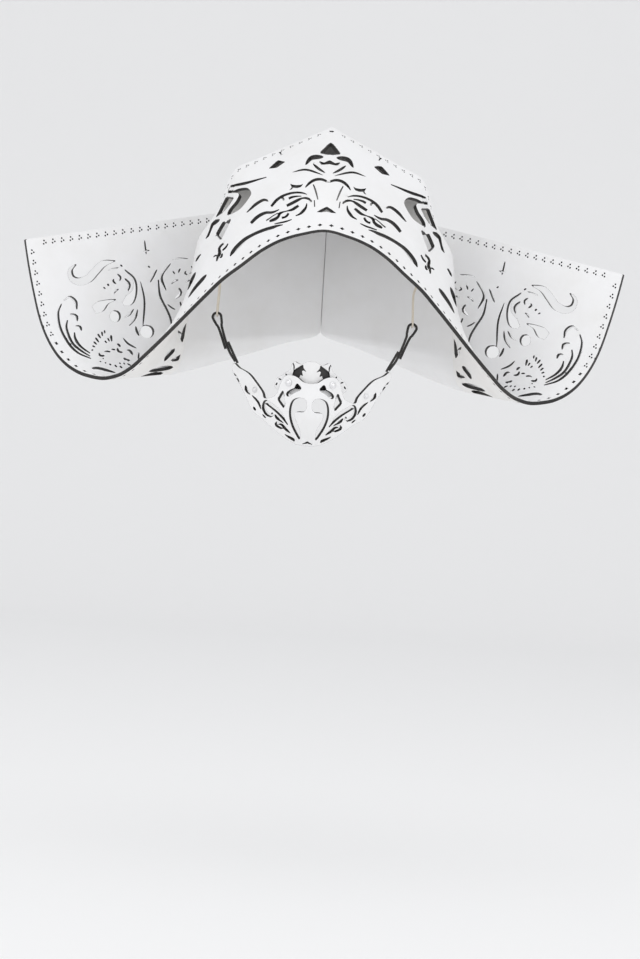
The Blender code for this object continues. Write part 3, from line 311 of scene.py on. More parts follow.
# The cut on the middle line of the chin, by its right half
CHIN_NOTCH = ((0.0, -141.9), (1.8, -143.0), (3.7, -144.0), (0.0, -143.3))
PLATE_OUTLINE = (
    (0.0, -107.4), (10.9, -108.5), (19.9, -107.3), (25.8, -105.1), (29.0, -101.4), (27.5, -96.7),
    (23.5, -93.7), (20.6, -91.4), (17.6, -89.5), (16.3, -85.8), (14.4, -82.9), (11.5, -84.3),
    (8.7, -84.9), (5.4, -83.7), (2.4, -82.5), (0.0, -82.9),
)
PLATE_CUTS = (
    ("star", (15.5, -94.0), (14.6, -89.8), (13.9, -89.4), (7.4, -85.3), (6.8, -87.9), (4.4, -90.6),
     (6.8, -89.5), (8.1, -90.2), (7.1, -93.8), (9.1, -93.0), (10.4, -96.2)),
    ("corner triangle", (10.5, -98.6), (6.5, -103.3), (12.6, -103.4)),
)
PLATE_LEAVES = (
    ("star tail", 15.5, -83.9, 14.4, -86.8, 14.5, -89.8, 0.9, 0.50, 0.6),
    ("first tick", 27.8, -101.4, 27.2, -100.4, 26.8, -99.3, 1.1, 0.50, 0.6),
    ("second tick", 26.0, -96.6, 25.0, -96.6, 23.6, -97.3, 0.9, 0.50, 0.6),
    ("third tick", 20.6, -92.4, 20.0, -93.4, 19.4, -94.5, 0.9, 0.50, 0.6),
)

CHIN_FRONT = -104.0
CHIN_SWEEP = 0.905
CHIN_BLUNT = 12.0
CURL_TOP = -110.0
CURL_BOW = 0.012
UPPER_RIVET = (15.9, -99.5)
LOWER_RIVET = (41.6, -105.5)
STRAP_EYE = (75.6, -50.2)
STRAP_END = (65.9, -75.5)
STRAP_FOOT = (59.2, -84.2)
STRAP_TAIL = ((65.7, -69.2), (57.2, -85.4))
STRAP_LOW = -87.0
STRAP_LOW_DEPTH = -61.0
STRAP_LEAN = 13.0 / 41.0
LOOP_OUTER = 4.2
LOOP_INNER = 2.1
LOOP_EASE = 0.1
STRAP_BEVEL = 0.25

# How far below the eye the strap's loop narrows, how far its layers stand aside, and how short one stops
NECK_DOWN = 5.2
NECK_ASIDE = 2.3
PINCH_DOWN = 9.5
PINCH_ASIDE = 1.25
INNER_LAYER = 1.05
OUTER_LAYER = 1.0
INNER_SHORT = 1.0

# The punched border
PUNCH_INSET = 4.6
PUNCH_SPACING = 7.9
DIAMOND_SPACING = 8.2
TRIPLE_DOT = 1.6
DOT_PLACES = ((0.9, 1.35), (0.9, -1.35), (-0.9, 0.0))
DIAMOND = (
    (1.9, 0.0), (0.75, 0.75), (0.0, 1.6), (-0.75, 0.75),
    (-1.9, 0.0), (-0.75, -0.75), (0.0, -1.6), (0.75, -0.75),
)

# The hood's mesh: steps along the edge, the sheet and its depth, and how far inner points keep from a cut
EDGE_STEP = 2.4
SHEET_STEP = 5.5
DEPTH_STEP = 7.0
MIDDLE_STEP = 4.0
SHEET_CLEAR = 1.8
CHIN_STEP = 2.6
CHIN_CLEAR = 1.0

# The crown panel: shares of the sheet's depth at its front and back, then how it falls, stops and rises
PANEL_FRONT = 0.94
PANEL_BACK = 0.975
PANEL_FALL = 0.31
PANEL_SHORT = 14.0
PANEL_SPARE = 0.5
PANEL_NOTCH = 0.4
PANEL_RISE = 24.0
PANEL_FLATTER = 0.75
PANEL_LEAN = (0.0, 0.25, 1.0)

# The back strip: shares of the sheet's depth that give its slope, and how far its ends stop short
STRIP_SHARES = (0.925, 0.962)
STRIP_LOW_SHORT = 4
STRIP_HIGH_SHORT = 5

# The elastics: where they leave the hood, how they clear the strap, and their woven cover
ELASTIC_PART = 0.35
ELASTIC_ENDS = (0.40, 0.47)
ELASTIC_LEAD = 5.0
ELASTIC_CLEAR = 2.9
ELASTIC_ASIDE = 0.6
ELASTIC_BEND = -26.0
ELASTIC_RISE = 4.0
CORNER_IN = 1.5
CORNER_RISE = 0.2
ELASTIC_STEP = 0.4
WEAVE_TURNS = 4
WEAVE_PITCH = 5.2
WEAVE_BODY = 0.96
WEAVE_RISE = 0.05

# The rivets: the cap's steps as shares of its radius and heights, then the dome, shanks and holes
SHANK_SHARE = 0.32
CAP_STEPS = ((0.96, 0.0), (1.0, 0.08), (1.0, 0.26), (0.95, 0.38), (0.80, 0.42), (0.76, 0.34), (0.71, 0.40))
DOME_SHARE = 0.69
DOME_FOOT = 0.42
DOME_RISE = 0.78
DOME_TIP = (0.04, 1.2)
UPPER_SHANK = CHIN_WALL + PLATE_WALL + LINING_WALL + 0.8
LOWER_SHANK = CHIN_WALL + 0.6
UPPER_HOLE = 2.5
LOWER_HOLE = 2.0

BLACK = (0.018, 0.017, 0.017, 1)
# Grey of the painted shade at the top of the crown panel's inside
PAINTED_SHADE_GREY = (0.10, 0.097, 0.093, 1)

# Leather finishes: colour, soiled colour and amount, black edge amount, roughness, grain cells, relief, sheen
FINISHES = {
    "white grain side": ((0.85, 0.85, 0.855, 1), (0.76, 0.75, 0.73, 1), 0.35, 1.0, 0.46, 1500.0, 0.22, 0.0),
    "white flesh side": ((0.86, 0.85, 0.835, 1), (0.74, 0.72, 0.69, 1), 0.5, 0.7, 0.78, 2600.0, 0.35, 0.2),
    "black painted edge": (BLACK, (0.06, 0.055, 0.05, 1), 0.5, 0.0, 0.42, 2200.0, 0.3, 0.0),
    "plain white leather": ((0.84, 0.84, 0.835, 1), (0.74, 0.73, 0.70, 1), 0.5, 0.8, 0.5, 1300.0, 0.25, 0.0),
    "bare cut edge": ((0.72, 0.71, 0.69, 1), (0.55, 0.53, 0.50, 1), 0.5, 0.0, 0.8, 3200.0, 0.4, 0.1),
    "black lining": ((0.022, 0.021, 0.021, 1), (0.08, 0.075, 0.07, 1), 0.4, 0.0, 0.62, 1900.0, 0.35, 0.0),
}

# The studio, in metres: the paper's sweep, then each lamp's name, place, size and power
FLOOR_HEIGHT = -0.47
SWEEP_FRONT = -9.0
SWEEP_BACK = 4.2
SWEEP_TOP = 6.0
SWEEP_HALF = 9.0
SWEEP_RADIUS = 1.2
LAMP_AIM = (0.0, 0.0, 0.0)
LAMPS = (
    ("soft_top", (0.0, -0.6, 2.6), 2.6, 7.0),
    ("soft_left", (-2.2, -1.6, 0.9), 1.8, 15.0),
    ("soft_right", (2.2, -1.6, 0.7), 1.8, 14.0),
)


# Smooth curves and flat shapes

def steady_curve(stations, values, level_start=False):
    """A smooth curve through the values that never overshoots them."""
    h = np.diff(stations)
    d = np.diff(values) / h
    m = np.zeros(len(values))
    for i in range(1, len(values) - 1):
        if d[i - 1] * d[i] > 0:
            w1 = 2 * h[i] + h[i - 1]
            w2 = h[i] + 2 * h[i - 1]
            m[i] = (w1 + w2) / (w1 / d[i - 1] + w2 / d[i])
    m[0] = 0.0 if level_start else d[0]
    m[-1] = d[-1]

    def at(t):
        t = np.clip(np.asarray(t, float), stations[0], stations[-1])
        i = np.clip(np.searchsorted(stations, t, side="right") - 1, 0, len(h) - 1)
        r = (t - stations[i]) / h[i]
        rise = values[i] * (1 + 2 * r) * (1 - r) ** 2 + values[i + 1] * r * r * (3 - 2 * r)
        return rise + h[i] * (m[i] * r * (1 - r) ** 2 - m[i + 1] * r * r * (1 - r))

    return at


def smooth_run(points, count):
    """Points spaced along a smooth curve through the given ones."""
    points = np.asarray(points, float)
    seg = np.linalg.norm(np.diff(points[:, :2], axis=0), axis=1)
    t = np.concatenate(([0.0], np.cumsum(seg)))
    padded = np.vstack([2 * points[0] - points[1], points, 2 * points[-1] - points[-2]])
    out = []
    for s in np.linspace(0, t[-1], count):
        i = min(max(int(np.searchsorted(t, s, side="right")) - 1, 0), len(seg) - 1)
        r = (s - t[i]) / seg[i]
        p0, p1, p2, p3 = padded[i:i + 4]
        out.append(0.5 * (2 * p1 + (p2 - p0) * r + (2 * p0 - 5 * p1 + 4 * p2 - p3) * r * r
                          + (3 * p1 - p0 - 3 * p2 + p3) * r ** 3))
    return np.array(out)


def smooth_columns(stations, points, places):
    """Points at the given places of a steady curve through the points at the stations."""
    points = np.asarray(points, float)
    return np.stack([steady_curve(stations, points[:, i])(places) for i in range(3)], axis=-1)


def ribbon_outline(middle, widths, pointed):
    d = np.gradient(middle, axis=0)
    d /= np.linalg.norm(d, axis=1)[:, None]
    side = np.stack([-d[:, 1], d[:, 0]], axis=1) * 0.5 * widths[:, None]
    if pointed:
        return np.vstack([middle[:1], (middle + side)[1:-1], middle[-1:], (middle - side)[1:-1][::-1]])
    return np.vstack([middle + side, (middle - side)[::-1]])


def leaf_outline(row):
    x0, z0, x1, z1, x2, z2, width, belly, blunt = row[1:]
    length = math.hypot(x1 - x0, z1 - z0) + math.hypot(x2 - x1, z2 - z1)
    count = int(np.clip(round(length / 1.3), 6, 26)) + 1
    middle = smooth_run([(x0, z0), (x1, z1), (x2, z2)], count)
    t = 0.5 - 0.5 * np.cos(np.linspace(0, math.pi, count))
    t = 0.5 * t + 0.5 * np.linspace(0, 1, count)
    middle = smooth_run(middle, 200)[np.round(t * 199).astype(int)]
    q = np.where(t < belly, 0.5 * t / belly, 0.5 + 0.5 * (t - belly) / (1 - belly))
    return ribbon_outline(middle, width * (4 * q * (1 - q)) ** blunt, True)


def band_outline(row):
    length = sum(math.dist(a[:2], b[:2]) for a, b in zip(row[1:], row[2:]))
    run = smooth_run(row[1:], int(np.clip(round(length / 1.5), 10, 32)))
    return ribbon_outline(run[:, :2], np.maximum(run[:, 2], 0.6), False)


def eased(points, cut=0.6):
    """A straight-sided shape with its corners eased as a blade turns them."""
    points = np.asarray(points, float)
    out = []
    for before, here, after in zip(np.roll(points, 1, axis=0), points, np.roll(points, -1, axis=0)):
        a = before - here
        b = after - here
        a *= min(cut, 0.3 * np.linalg.norm(a)) / np.linalg.norm(a)
        b *= min(cut, 0.3 * np.linalg.norm(b)) / np.linalg.norm(b)
        out += [here + a, here + 0.25 * (a + b), here + b]
    return np.array(out)


def rounded_loop(points, step=1.4):
    """A closed smooth curve through the points."""
    points = np.asarray(points, float)
    out = []
    n = len(points)
    for i in range(n):
        p0, p1, p2, p3 = points[i - 1], points[i], points[(i + 1) % n], points[(i + 2) % n]
        parts = max(1, int(round(np.linalg.norm(p2 - p1) / step)))
        for k in range(parts):
            r = k / parts
            out.append(0.5 * (2 * p1 + (p2 - p0) * r + (2 * p0 - 5 * p1 + 4 * p2 - p3) * r * r
                              + (3 * p1 - p0 - 3 * p2 + p3) * r ** 3))
    return np.array(out)


def smooth_side(points, step=1.4):
    """An open smooth run through the points."""
    points = np.asarray(points, float)
    length = np.linalg.norm(np.diff(points, axis=0), axis=1).sum()
    return smooth_run(points, int(round(length / step)))


def flipped(shape):
    return (np.asarray(shape) * np.array([-1.0, 1.0]))[::-1]


def whole_shape(half):
    half = np.asarray(half, float)
    left = half[np.abs(half[:, 0]) > 1e-6][::-1] * np.array([-1.0, 1.0])
    return np.vstack([half, left])


def dot_outline(x, z, wide, high, sides=6):
    turn = [2 * math.pi * (i + 0.5) / sides for i in range(sides)]
    return np.array([(x + 0.5 * wide * math.cos(a), z + 0.5 * high * math.sin(a)) for a in turn])


# The hood's curved sheet

def carried(x, z, depth):
    """Chart places moved from the chart's plane to their real depth."""
    grow = (depth - SIGHT_BACK) / (CHART_DEPTH - SIGHT_BACK)
    return x * grow, SIGHT_HEIGHT + (z - SIGHT_HEIGHT) * grow


def hood_stations():
    """The places of the hood's lines along the sheet, from its real length."""
    rows = np.array(HOOD_LINES)
    rim = rows[:, 0:3]
    middle = 0.5 * (rim + rows[:, 3:6])
    steps = [np.linalg.norm(np.diff(line, axis=0), axis=1) for line in (middle, rim)]
    return np.concatenate(([0.0], np.cumsum(0.5 * (steps[0] + steps[1]))))


STATIONS = hood_stations()
HALF_LENGTH = STATIONS[-1]


def hood_columns():
    rows = np.array(HOOD_LINES)
    columns = []
    for first in (0, 3):
        x, z = carried(rows[:, first], rows[:, first + 1], rows[:, first + 2])
        columns.append(steady_curve(STATIONS, x))
        columns += [steady_curve(STATIONS, v, first == 0) for v in (z, rows[:, first + 2])]
    return columns


HOOD_CURVES = hood_columns()


def hood_point(along, across):
    """A point of the hood sheet; along runs from the middle to a wing tip, across from rim to back."""
    along = np.asarray(along, float)
    across = np.asarray(across, float)
    side = np.where(along < 0, -1.0, 1.0)
    reach = np.abs(along)
    rx, rz, ry, bx, bz, by = [curve(reach) for curve in HOOD_CURVES]
    fade = np.clip(1.0 - reach / STATIONS[FIRST_SIDE_LINE + 1], 0, 1)
    swell = CROWN_SWELL * 4 * across * (1 - across) * fade * fade * (3 - 2 * fade)
    x = rx + (bx - rx) * across
    y = ry + (by - ry) * across - SWELL_FORWARD * swell
    z = rz + (bz - rz) * across + SWELL_UP * swell
    return np.stack([side * x, y, z], axis=-1)


def hood_normal(along, across, step=0.4):
    a0 = hood_point(along - step, across)
    a1 = hood_point(along + step, across)
    b0 = hood_point(along, np.clip(across - 0.004, 0, 1))
    b1 = hood_point(along, np.clip(across + 0.004, 0, 1))
    n = np.cross(a1 - a0, b1 - b0)
    return n / np.linalg.norm(n, axis=-1, keepdims=True)


def charted(points):
    """Where points in space are seen on the chart."""
    grow = (points[..., 1] - SIGHT_BACK) / (CHART_DEPTH - SIGHT_BACK)
    x = points[..., 0] / grow
    z = SIGHT_HEIGHT + (points[..., 2] - SIGHT_HEIGHT) / grow
    return np.stack([x, z], axis=-1)


def chart_to_sheet(chart, first, last):
    """Finds the sheet places of chart points, between two lines of the sheet."""
    chart = np.asarray(chart, float)
    along, across = np.meshgrid(np.linspace(first, last, 160), np.linspace(0.02, 0.98, 49), indexing="ij")
    seen = charted(hood_point(along, across)).reshape(-1, 2)
    near = np.argmin(((chart[:, None, :] - seen[None]) ** 2).sum(-1), axis=1)
    u = along.ravel()[near].copy()
    v = across.ravel()[near].copy()
    for _ in range(12):
        here = charted(hood_point(u, v))
        du = (charted(hood_point(u + 0.05, v)) - here) / 0.05
        dv = (charted(hood_point(u, v + 0.0005)) - here) / 0.0005
        gap = chart - here
        det = du[:, 0] * dv[:, 1] - du[:, 1] * dv[:, 0]
        det = np.where(np.abs(det) < 1e-3, 1e-3, det)
        step_u = (gap[:, 0] * dv[:, 1] - gap[:, 1] * dv[:, 0]) / det
        step_v = (du[:, 0] * gap[:, 1] - du[:, 1] * gap[:, 0]) / det
        u = np.clip(u + np.clip(step_u, -4, 4), first, last)
        v = np.clip(v + np.clip(step_v, -0.04, 0.04), 0.035, 0.95)
    return np.stack([u, v * SHEET_DEPTH], axis=-1)


def placed_holes(shapes, first, last):
    """Charted shapes laid on the sheet, each with its twin on the other side."""
    sizes = [len(s) for s in shapes]
    flat = chart_to_sheet(np.vstack(shapes), first, last)
    holes = []
    start = 0
    for size in sizes:
        hole = flat[start:start + size]
        holes += [hole, flipped(hole)]
        start += size
    return holes


def hood_holes():
    side = STATIONS[FIRST_SIDE_LINE + 4]
    fold = STATIONS[FOLD_LINE]
    crown = [leaf_outline(r) for r in CROWN_LEAVES + APEX_TICK] + [band_outline(r) for r in CROWN_BANDS]
    crown += [eased(r[1:]) for r in CROWN_CUTS] + [rounded_loop(HOOKED_WINDOW)]
    wing = [leaf_outline(r) for r in WING_LEAVES] + [band_outline(r) for r in WING_BANDS]
    holes = placed_holes(crown, 0.0, side)
    holes += placed_holes(wing, fold + 2, HALF_LENGTH)
    holes += placed_holes([leaf_outline(r) for r in SIDE_LEAVES], STATIONS[FIRST_SIDE_LINE], side)
    holes += placed_holes([leaf_outline(r) for r in UNDER_LEAVES], STATIONS[FIRST_SIDE_LINE + 2], fold - 4)
    for row in MIDDLE_CUTS:
        half = np.array(row[1:])
        flat = chart_to_sheet(half, 0.0, side)
        flat[np.abs(half[:, 0]) < 1e-6, 0] = 0.0
        holes.append(eased(whole_shape(flat), 0.5))
    return holes


def even_places(run, spacing):
    """Places along a run of sheet points, evenly spaced on the leather itself."""
    points = hood_point(run[:, 0], run[:, 1] / SHEET_DEPTH)
    length = np.concatenate(([0.0], np.cumsum(np.linalg.norm(np.diff(points, axis=0), axis=1))))
    stops = np.linspace(0.5 * spacing, length[-1] - 0.5 * spacing, int(round(length[-1] / spacing)))
    return np.stack([np.interp(stops, length, run[:, i]) for i in range(2)], axis=-1)


def local_punch(place, shapes):
    """Small shapes given in true millimetres, set on the sheet about a place."""
    u, v = place
    here = hood_point(u, v / SHEET_DEPTH)
    du = hood_point(u + 0.5, v / SHEET_DEPTH) - here
    dv = hood_point(u, (v + 0.5) / SHEET_DEPTH) - here
    long_way = du / 0.5
    deep_way = dv / 0.5
    gram = np.array([[long_way @ long_way, long_way @ deep_way], [long_way @ deep_way, deep_way @ deep_way]])
    right = np.array([1.0, 0.0, 0.0])
    right = right - (right @ np.cross(du, dv)) * np.cross(du, dv) / (np.cross(du, dv) @ np.cross(du, dv))
    right /= np.linalg.norm(right)
    up = np.cross(np.cross(du, dv), right)
    up /= np.linalg.norm(up)
    out = []
    for shape in shapes:
        spots = shape[:, :1] * right + shape[:, 1:] * up
        uv = np.linalg.solve(gram, np.stack([spots @ long_way, spots @ deep_way]))
        out.append(np.stack([u + uv[0], v + uv[1]], axis=-1))
    return out


def triple_punch():
    """Three dots: two outward, one inward."""
    return [dot_outline(x, z, TRIPLE_DOT, TRIPLE_DOT) for x, z in DOT_PLACES]


def diamond_punch():
    """A small diamond with hollowed sides."""
    return [np.array(DIAMOND)]


def punch_holes():
    """The punched border: diamonds at the brow and lower edges, three dots along the wings and the crown."""
    turn = STATIONS[FOLD_LINE + 4]
    rim = [(u, PUNCH_INSET * SHEET_DEPTH / rim_depth(u)) for u in np.linspace(0.0, turn, 160)]
    edge = [(u, PUNCH_INSET * SHEET_DEPTH / rim_depth(u)) for u in np.linspace(turn, HALF_LENGTH - 7.0, 60)]
    top_u = HALF_LENGTH - PUNCH_INSET
    top = [(top_u, v) for v in np.linspace(6.5, 0.93 * SHEET_DEPTH, 80)]
    crown = [(u, 0.955 * SHEET_DEPTH) for u in np.linspace(5.0, STATIONS[FIRST_SIDE_LINE] - 4, 60)]
    rows = ((rim, DIAMOND_SPACING, diamond_punch()), (edge, PUNCH_SPACING, triple_punch()),
            (top, PUNCH_SPACING, triple_punch()), (crown, PUNCH_SPACING, triple_punch()))
    holes = []
    for run, spacing, shapes in rows:
        for place in even_places(np.array(run), spacing):
            for hole in local_punch(place, shapes):
                holes += [hole, flipped(hole)]
    return holes


def rim_depth(u):
    """The sheet's real depth from rim to back at one place along it."""
    return float(np.linalg.norm(hood_point(u, 1.0) - hood_point(u, 0.0)))


# From flat shapes to leather

def inside(points, outline):
    """Which points lie inside a closed outline."""
    x, y = points[:, 0], points[:, 1]
    result = np.zeros(len(points), bool)
    for a, b in zip(outline, np.roll(outline, -1, axis=0)):
        crosses = (a[1] > y) != (b[1] > y)
        slope = (b[0] - a[0]) / (b[1] - a[1]) if b[1] != a[1] else 0.0
        result ^= crosses & (x < slope * (y - a[1]) + a[0])
    return result


def near_outline(points, outline, reach):
    """Which points lie within reach of an outline."""
    low = outline.min(axis=0) - reach
    high = outline.max(axis=0) + reach
    found = np.zeros(len(points), bool)
    index = np.nonzero(np.all((points > low) & (points < high), axis=1))[0]
    if len(index):
        p = points[index]
        best = np.full(len(p), 1e9)
        for a, b in zip(outline, np.roll(outline, -1, axis=0)):
            ab = b - a
            t = np.clip(((p - a) @ ab) / max(ab @ ab, 1e-12), 0, 1)
            best = np.minimum(best, np.linalg.norm(p - a - t[:, None] * ab, axis=1))
        found[index] = best < reach
    return found


def band_points(outline, gap, outward):
    """A ring of points a little way off an outline, on the leather's side of it."""
    after = np.roll(outline, -1, axis=0)
    area = 0.5 * np.sum(outline[:, 0] * after[:, 1] - after[:, 0] * outline[:, 1])
    d = after - np.roll(outline, 1, axis=0)
    d /= np.maximum(np.linalg.norm(d, axis=1), 1e-9)[:, None]
    side = np.stack([d[:, 1], -d[:, 0]], axis=1) * (1.0 if area > 0 else -1.0)
    return outline + gap * side * (1.0 if outward else -1.0)


def pierced_sheet(outline, holes, punches, inner, clear, plain=None):
    """Flat triangles of an outline with holes, with a narrow band beside each cut edge.

    Also gives each point's kind: 0 inside the leather, 1 on a painted edge, 2 on a plain edge, 3 on a punch.
    """
    bands = [band_points(h, EDGE_BAND, True) for h in holes] + [band_points(outline, EDGE_BAND, False)]
    ring = np.vstack(bands)
    ring = ring[inside(ring, outline)]
    kept = np.asarray(inner, float)
    kept = kept[inside(kept, outline)]
    kept = kept[~near_outline(kept, outline, clear)]
    ring = ring[~near_outline(ring, outline, 0.8 * EDGE_BAND)]
    for hole in holes + punches:
        kept = kept[~(near_outline(kept, hole, clear) | inside(kept, hole))]
        ring = ring[~(near_outline(ring, hole, 0.8 * EDGE_BAND) | inside(ring, hole))]
    points = []
    edges = []
    kinds = []
    rim_kind = np.ones(len(outline), int) if plain is None else np.where(plain, 2, 1)
    marks = [rim_kind] + [np.ones(len(h), int) for h in holes] + [np.full(len(h), 3) for h in punches]
    for loop, mark in zip([outline] + holes + punches, marks):
        first = len(points)
        points += [tuple(map(float, p)) for p in loop]
        kinds += mark.tolist()
        edges += [(first + i, first + (i + 1) % len(loop)) for i in range(len(loop))]
    free = np.vstack([ring, kept])
    points += [tuple(map(float, p)) for p in free]
    kinds += [0] * len(free)
    coords, _, faces, sources = delaunay_2d_cdt(points, edges, [], 0, 1e-5)[:4]
    flat = np.array([(c[0], c[1]) for c in coords])
    kind = np.array([max([kinds[i] for i in source], default=1) for source in sources])
    faces = np.array([f for f in faces if len(f) == 3])
    middle = flat[faces].mean(axis=1)
    keep = inside(middle, outline)
    for hole in holes + punches:
        low = hole.min(axis=0)
        high = hole.max(axis=0)
        index = np.nonzero(keep & np.all((middle > low) & (middle < high), axis=1))[0]
        keep[index[inside(middle[index], hole)]] = False
    faces = faces[keep]
    a, b, c = flat[faces[:, 0]], flat[faces[:, 1]], flat[faces[:, 2]]
    area = (b[:, 0] - a[:, 0]) * (c[:, 1] - a[:, 1]) - (b[:, 1] - a[:, 1]) * (c[:, 0] - a[:, 0])
    faces[area < 0] = faces[area < 0][:, ::-1]
    used = np.unique(faces)
    renumber = np.full(len(flat), -1)
    renumber[used] = np.arange(len(used))
    return flat[used], renumber[faces], kind[used]


def loose_edges(faces):
    """Edges that only one triangle has, in that triangle's order."""
    seen = set()
    for f in faces.tolist():
        for i in range(3):
            seen.add((f[i], f[(i + 1) % 3]))
    return np.array([e for e in seen if (e[1], e[0]) not in seen])


def smooth_mesh(name, points, faces, materials, index=None, sharp=None):
    """A smooth mesh in metres, with each face's material index and the angle of a hard edge if given."""
    mesh = bpy.data.meshes.new(name)
    mesh.from_pydata(points, [], faces)
    for material in materials:
        mesh.materials.append(material)
    if index is not None:
        mesh.polygons.foreach_set("material_index", np.array(index, dtype=np.int32))
    mesh.polygons.foreach_set("use_smooth", np.ones(len(mesh.polygons), dtype=bool))
    if sharp is not None:
        mesh.set_sharp_from_angle(angle=math.radians(sharp))
    return mesh


def placed(name, data):
    """A new object with its mesh, lamp or camera, put in the scene."""
    piece = bpy.data.objects.new(name, data)
    bpy.context.scene.collection.objects.link(piece)
    return piece


def dress(piece, node):
    """Fixes a piece to the part and the node it replaces, if it has them."""
    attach(piece, "root")
    if node:
        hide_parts(node)


def tube_faces(rings, sides, turned):
    """Faces of a tube with closed ends made of rings of points, turned over if asked."""
    ends = [tuple(range(sides))[::-1], tuple((rings - 1) * sides + i for i in range(sides))]
    walls = []
    for k in range(rings - 1):
        for i in range(sides):
            a, b = i, (i + 1) % sides
            if turned:
                a, b = b, a
            walls.append((k * sides + a, k * sides + b, (k + 1) * sides + b, (k + 1) * sides + a))
    return ([end[::-1] for end in ends] if turned else ends) + walls


def leather_solid(name, middle, normals, faces, kind, wall, materials, node):
    """A closed wall of leather with eased edges; materials are grain, flesh, painted edge and plain edge."""
    n = len(middle)
    edges = loose_edges(faces)
    a, b = edges[:, 0], edges[:, 1]
    out = np.cross(middle[b] - middle[a], normals[a])
    out /= np.maximum(np.linalg.norm(out, axis=1), 1e-9)[:, None]
    outward = np.zeros((n, 3))
    np.add.at(outward, a, out)
    np.add.at(outward, b, out)
    rim = np.linalg.norm(outward, axis=1) > 1e-9
    outward[rim] /= np.linalg.norm(outward[rim], axis=1)[:, None]
    eased_rim = rim & (kind < 3)
    half = np.where(eased_rim, 0.5 * wall - EDGE_ROUND, 0.5 * wall)[:, None]
    turned = outward * eased_rim[:, None]
    points = np.vstack([middle + half * normals, middle - half * normals]) * MM
    solid = [faces, faces[:, ::-1] + n, np.stack([b, a, a + n], axis=1), np.stack([b, a + n, b + n], axis=1)]
    shade = normals + 0.75 * turned
    shade /= np.linalg.norm(shade, axis=1)[:, None]
    under = -normals + 0.75 * turned
    under /= np.linalg.norm(under, axis=1)[:, None]
    face_shade = np.vstack([shade, under])
    wall_shade = np.vstack([outward + 0.25 * normals, outward - 0.25 * normals])
    corner = [face_shade[solid[0]], face_shade[solid[1]], wall_shade[solid[2]], wall_shade[solid[3]]]
    cut = np.where((kind[a] == 2) & (kind[b] > 0), 3, 2)
    index = np.concatenate([np.zeros(len(faces)), np.ones(len(faces)), cut, cut])
    painted = (rim & (kind == 1)).astype(np.float32)
    mesh = smooth_mesh(name, points.tolist(), np.vstack(solid).tolist(), materials, index)
    mark = mesh.attributes.new("cut_edge", "FLOAT", "POINT")
    mark.data.foreach_set("value", np.concatenate([painted, painted]))
    shades = np.vstack([c.reshape(-1, 3) for c in corner])
    shades /= np.maximum(np.linalg.norm(shades, axis=1), 1e-9)[:, None]
    mesh.normals_split_custom_set(shades.tolist())
    mesh.update()
    dress(placed(name, mesh), node)


def edge_run(start, end, step):
    """Evenly spaced points from a start up to, but not at, an end."""
    count = max(2, int(round(np.linalg.norm(np.subtract(end, start)) / step)) + 1)
    return np.linspace(start, end, count)[:-1]


def make_hood(materials):
    """The one pierced sheet of the crown, the sides and both wings."""
    length, depth = HALF_LENGTH, SHEET_DEPTH
    corners = [(-length, 0), (length, 0), (length, depth), (0, depth), (-length, depth), (-length, 0)]
    outline = np.vstack([edge_run(a, b, EDGE_STEP) for a, b in zip(corners, corners[1:])])
    rows = np.arange(6.0, depth, DEPTH_STEP)
    inner = [(u, v) for u in np.arange(-length + 4, length, SHEET_STEP) for v in rows]
    inner += [(0.0, v) for v in np.arange(4.0, depth, MIDDLE_STEP)]
    unpainted = outline[:, 1] > 0.5
    flat, faces, kind = pierced_sheet(outline, hood_holes(), punch_holes(), inner, SHEET_CLEAR, unpainted)
    along, across = flat[:, 0], flat[:, 1] / SHEET_DEPTH
    leather_solid("hood_leather", hood_point(along, across), hood_normal(along, across), faces, kind,
                  HOOD_WALL + HOOD_SWELL, materials, "hood_sheet")


def grid_leather(name, grid, wall, materials, node):
    """Leather over a grid of middle points."""
    grid = np.asarray(grid, float)
    rows, columns = grid.shape[:2]
    normal = np.cross(np.gradient(grid, axis=0), np.gradient(grid, axis=1))
    normal /= np.linalg.norm(normal, axis=-1, keepdims=True)
    faces = []
    for i in range(rows - 1):
        for j in range(columns - 1):
            a = i * columns + j
            faces.append((a, a + columns, a + columns + 1))
            faces.append((a, a + columns + 1, a + 1))
    kind = np.full(rows * columns, 2)
    leather_solid(name, grid.reshape(-1, 3), normal.reshape(-1, 3), np.array(faces), kind, wall, materials,
                  node)


def make_crown_back(materials):
    """The plain panel that closes the hood between the crown's back edge and the wing ends."""
    offset = 0.5 * HOOD_WALL + SEAM_GAP + 0.5 * BACK_WALL + PANEL_SPARE
    reach = STATIONS[FIRST_SIDE_LINE]
    turns = np.linspace(-1, 1, 19)
    fronts = []
    backs = []
    for t in turns:
        at_middle = abs(t) < 1e-6
        place = 0.5 if at_middle else t * reach
        front = hood_point(place, PANEL_FRONT) - offset * hood_normal(place, PANEL_FRONT)
        along = (HALF_LENGTH - PANEL_SHORT) * (1 if t >= 0 else -1)
        across = PANEL_BACK - PANEL_FALL * abs(t)
        back = hood_point(along, across) + offset * hood_normal(along, across)
        if at_middle:
            front[0] = 0.0
            back[0] = 0.0
            back[1] -= PANEL_NOTCH
        fronts.append(front)
        backs.append(back)
    fine = np.linspace(-1, 1, 73)
    grid = []
    for t, front, back in zip(fine, smooth_columns(turns, fronts, fine), smooth_columns(turns, backs, fine)):
        rise = PANEL_RISE * (1 - PANEL_FLATTER * t * t)
        grid.append([front + (back - front) * s + np.array(PANEL_LEAN) * rise * 4 * s * (1 - s)
                     for s in np.linspace(0, 1, 37)])
    grid_leather("crown_back_leather", grid, BACK_WALL, materials, "crown_back")


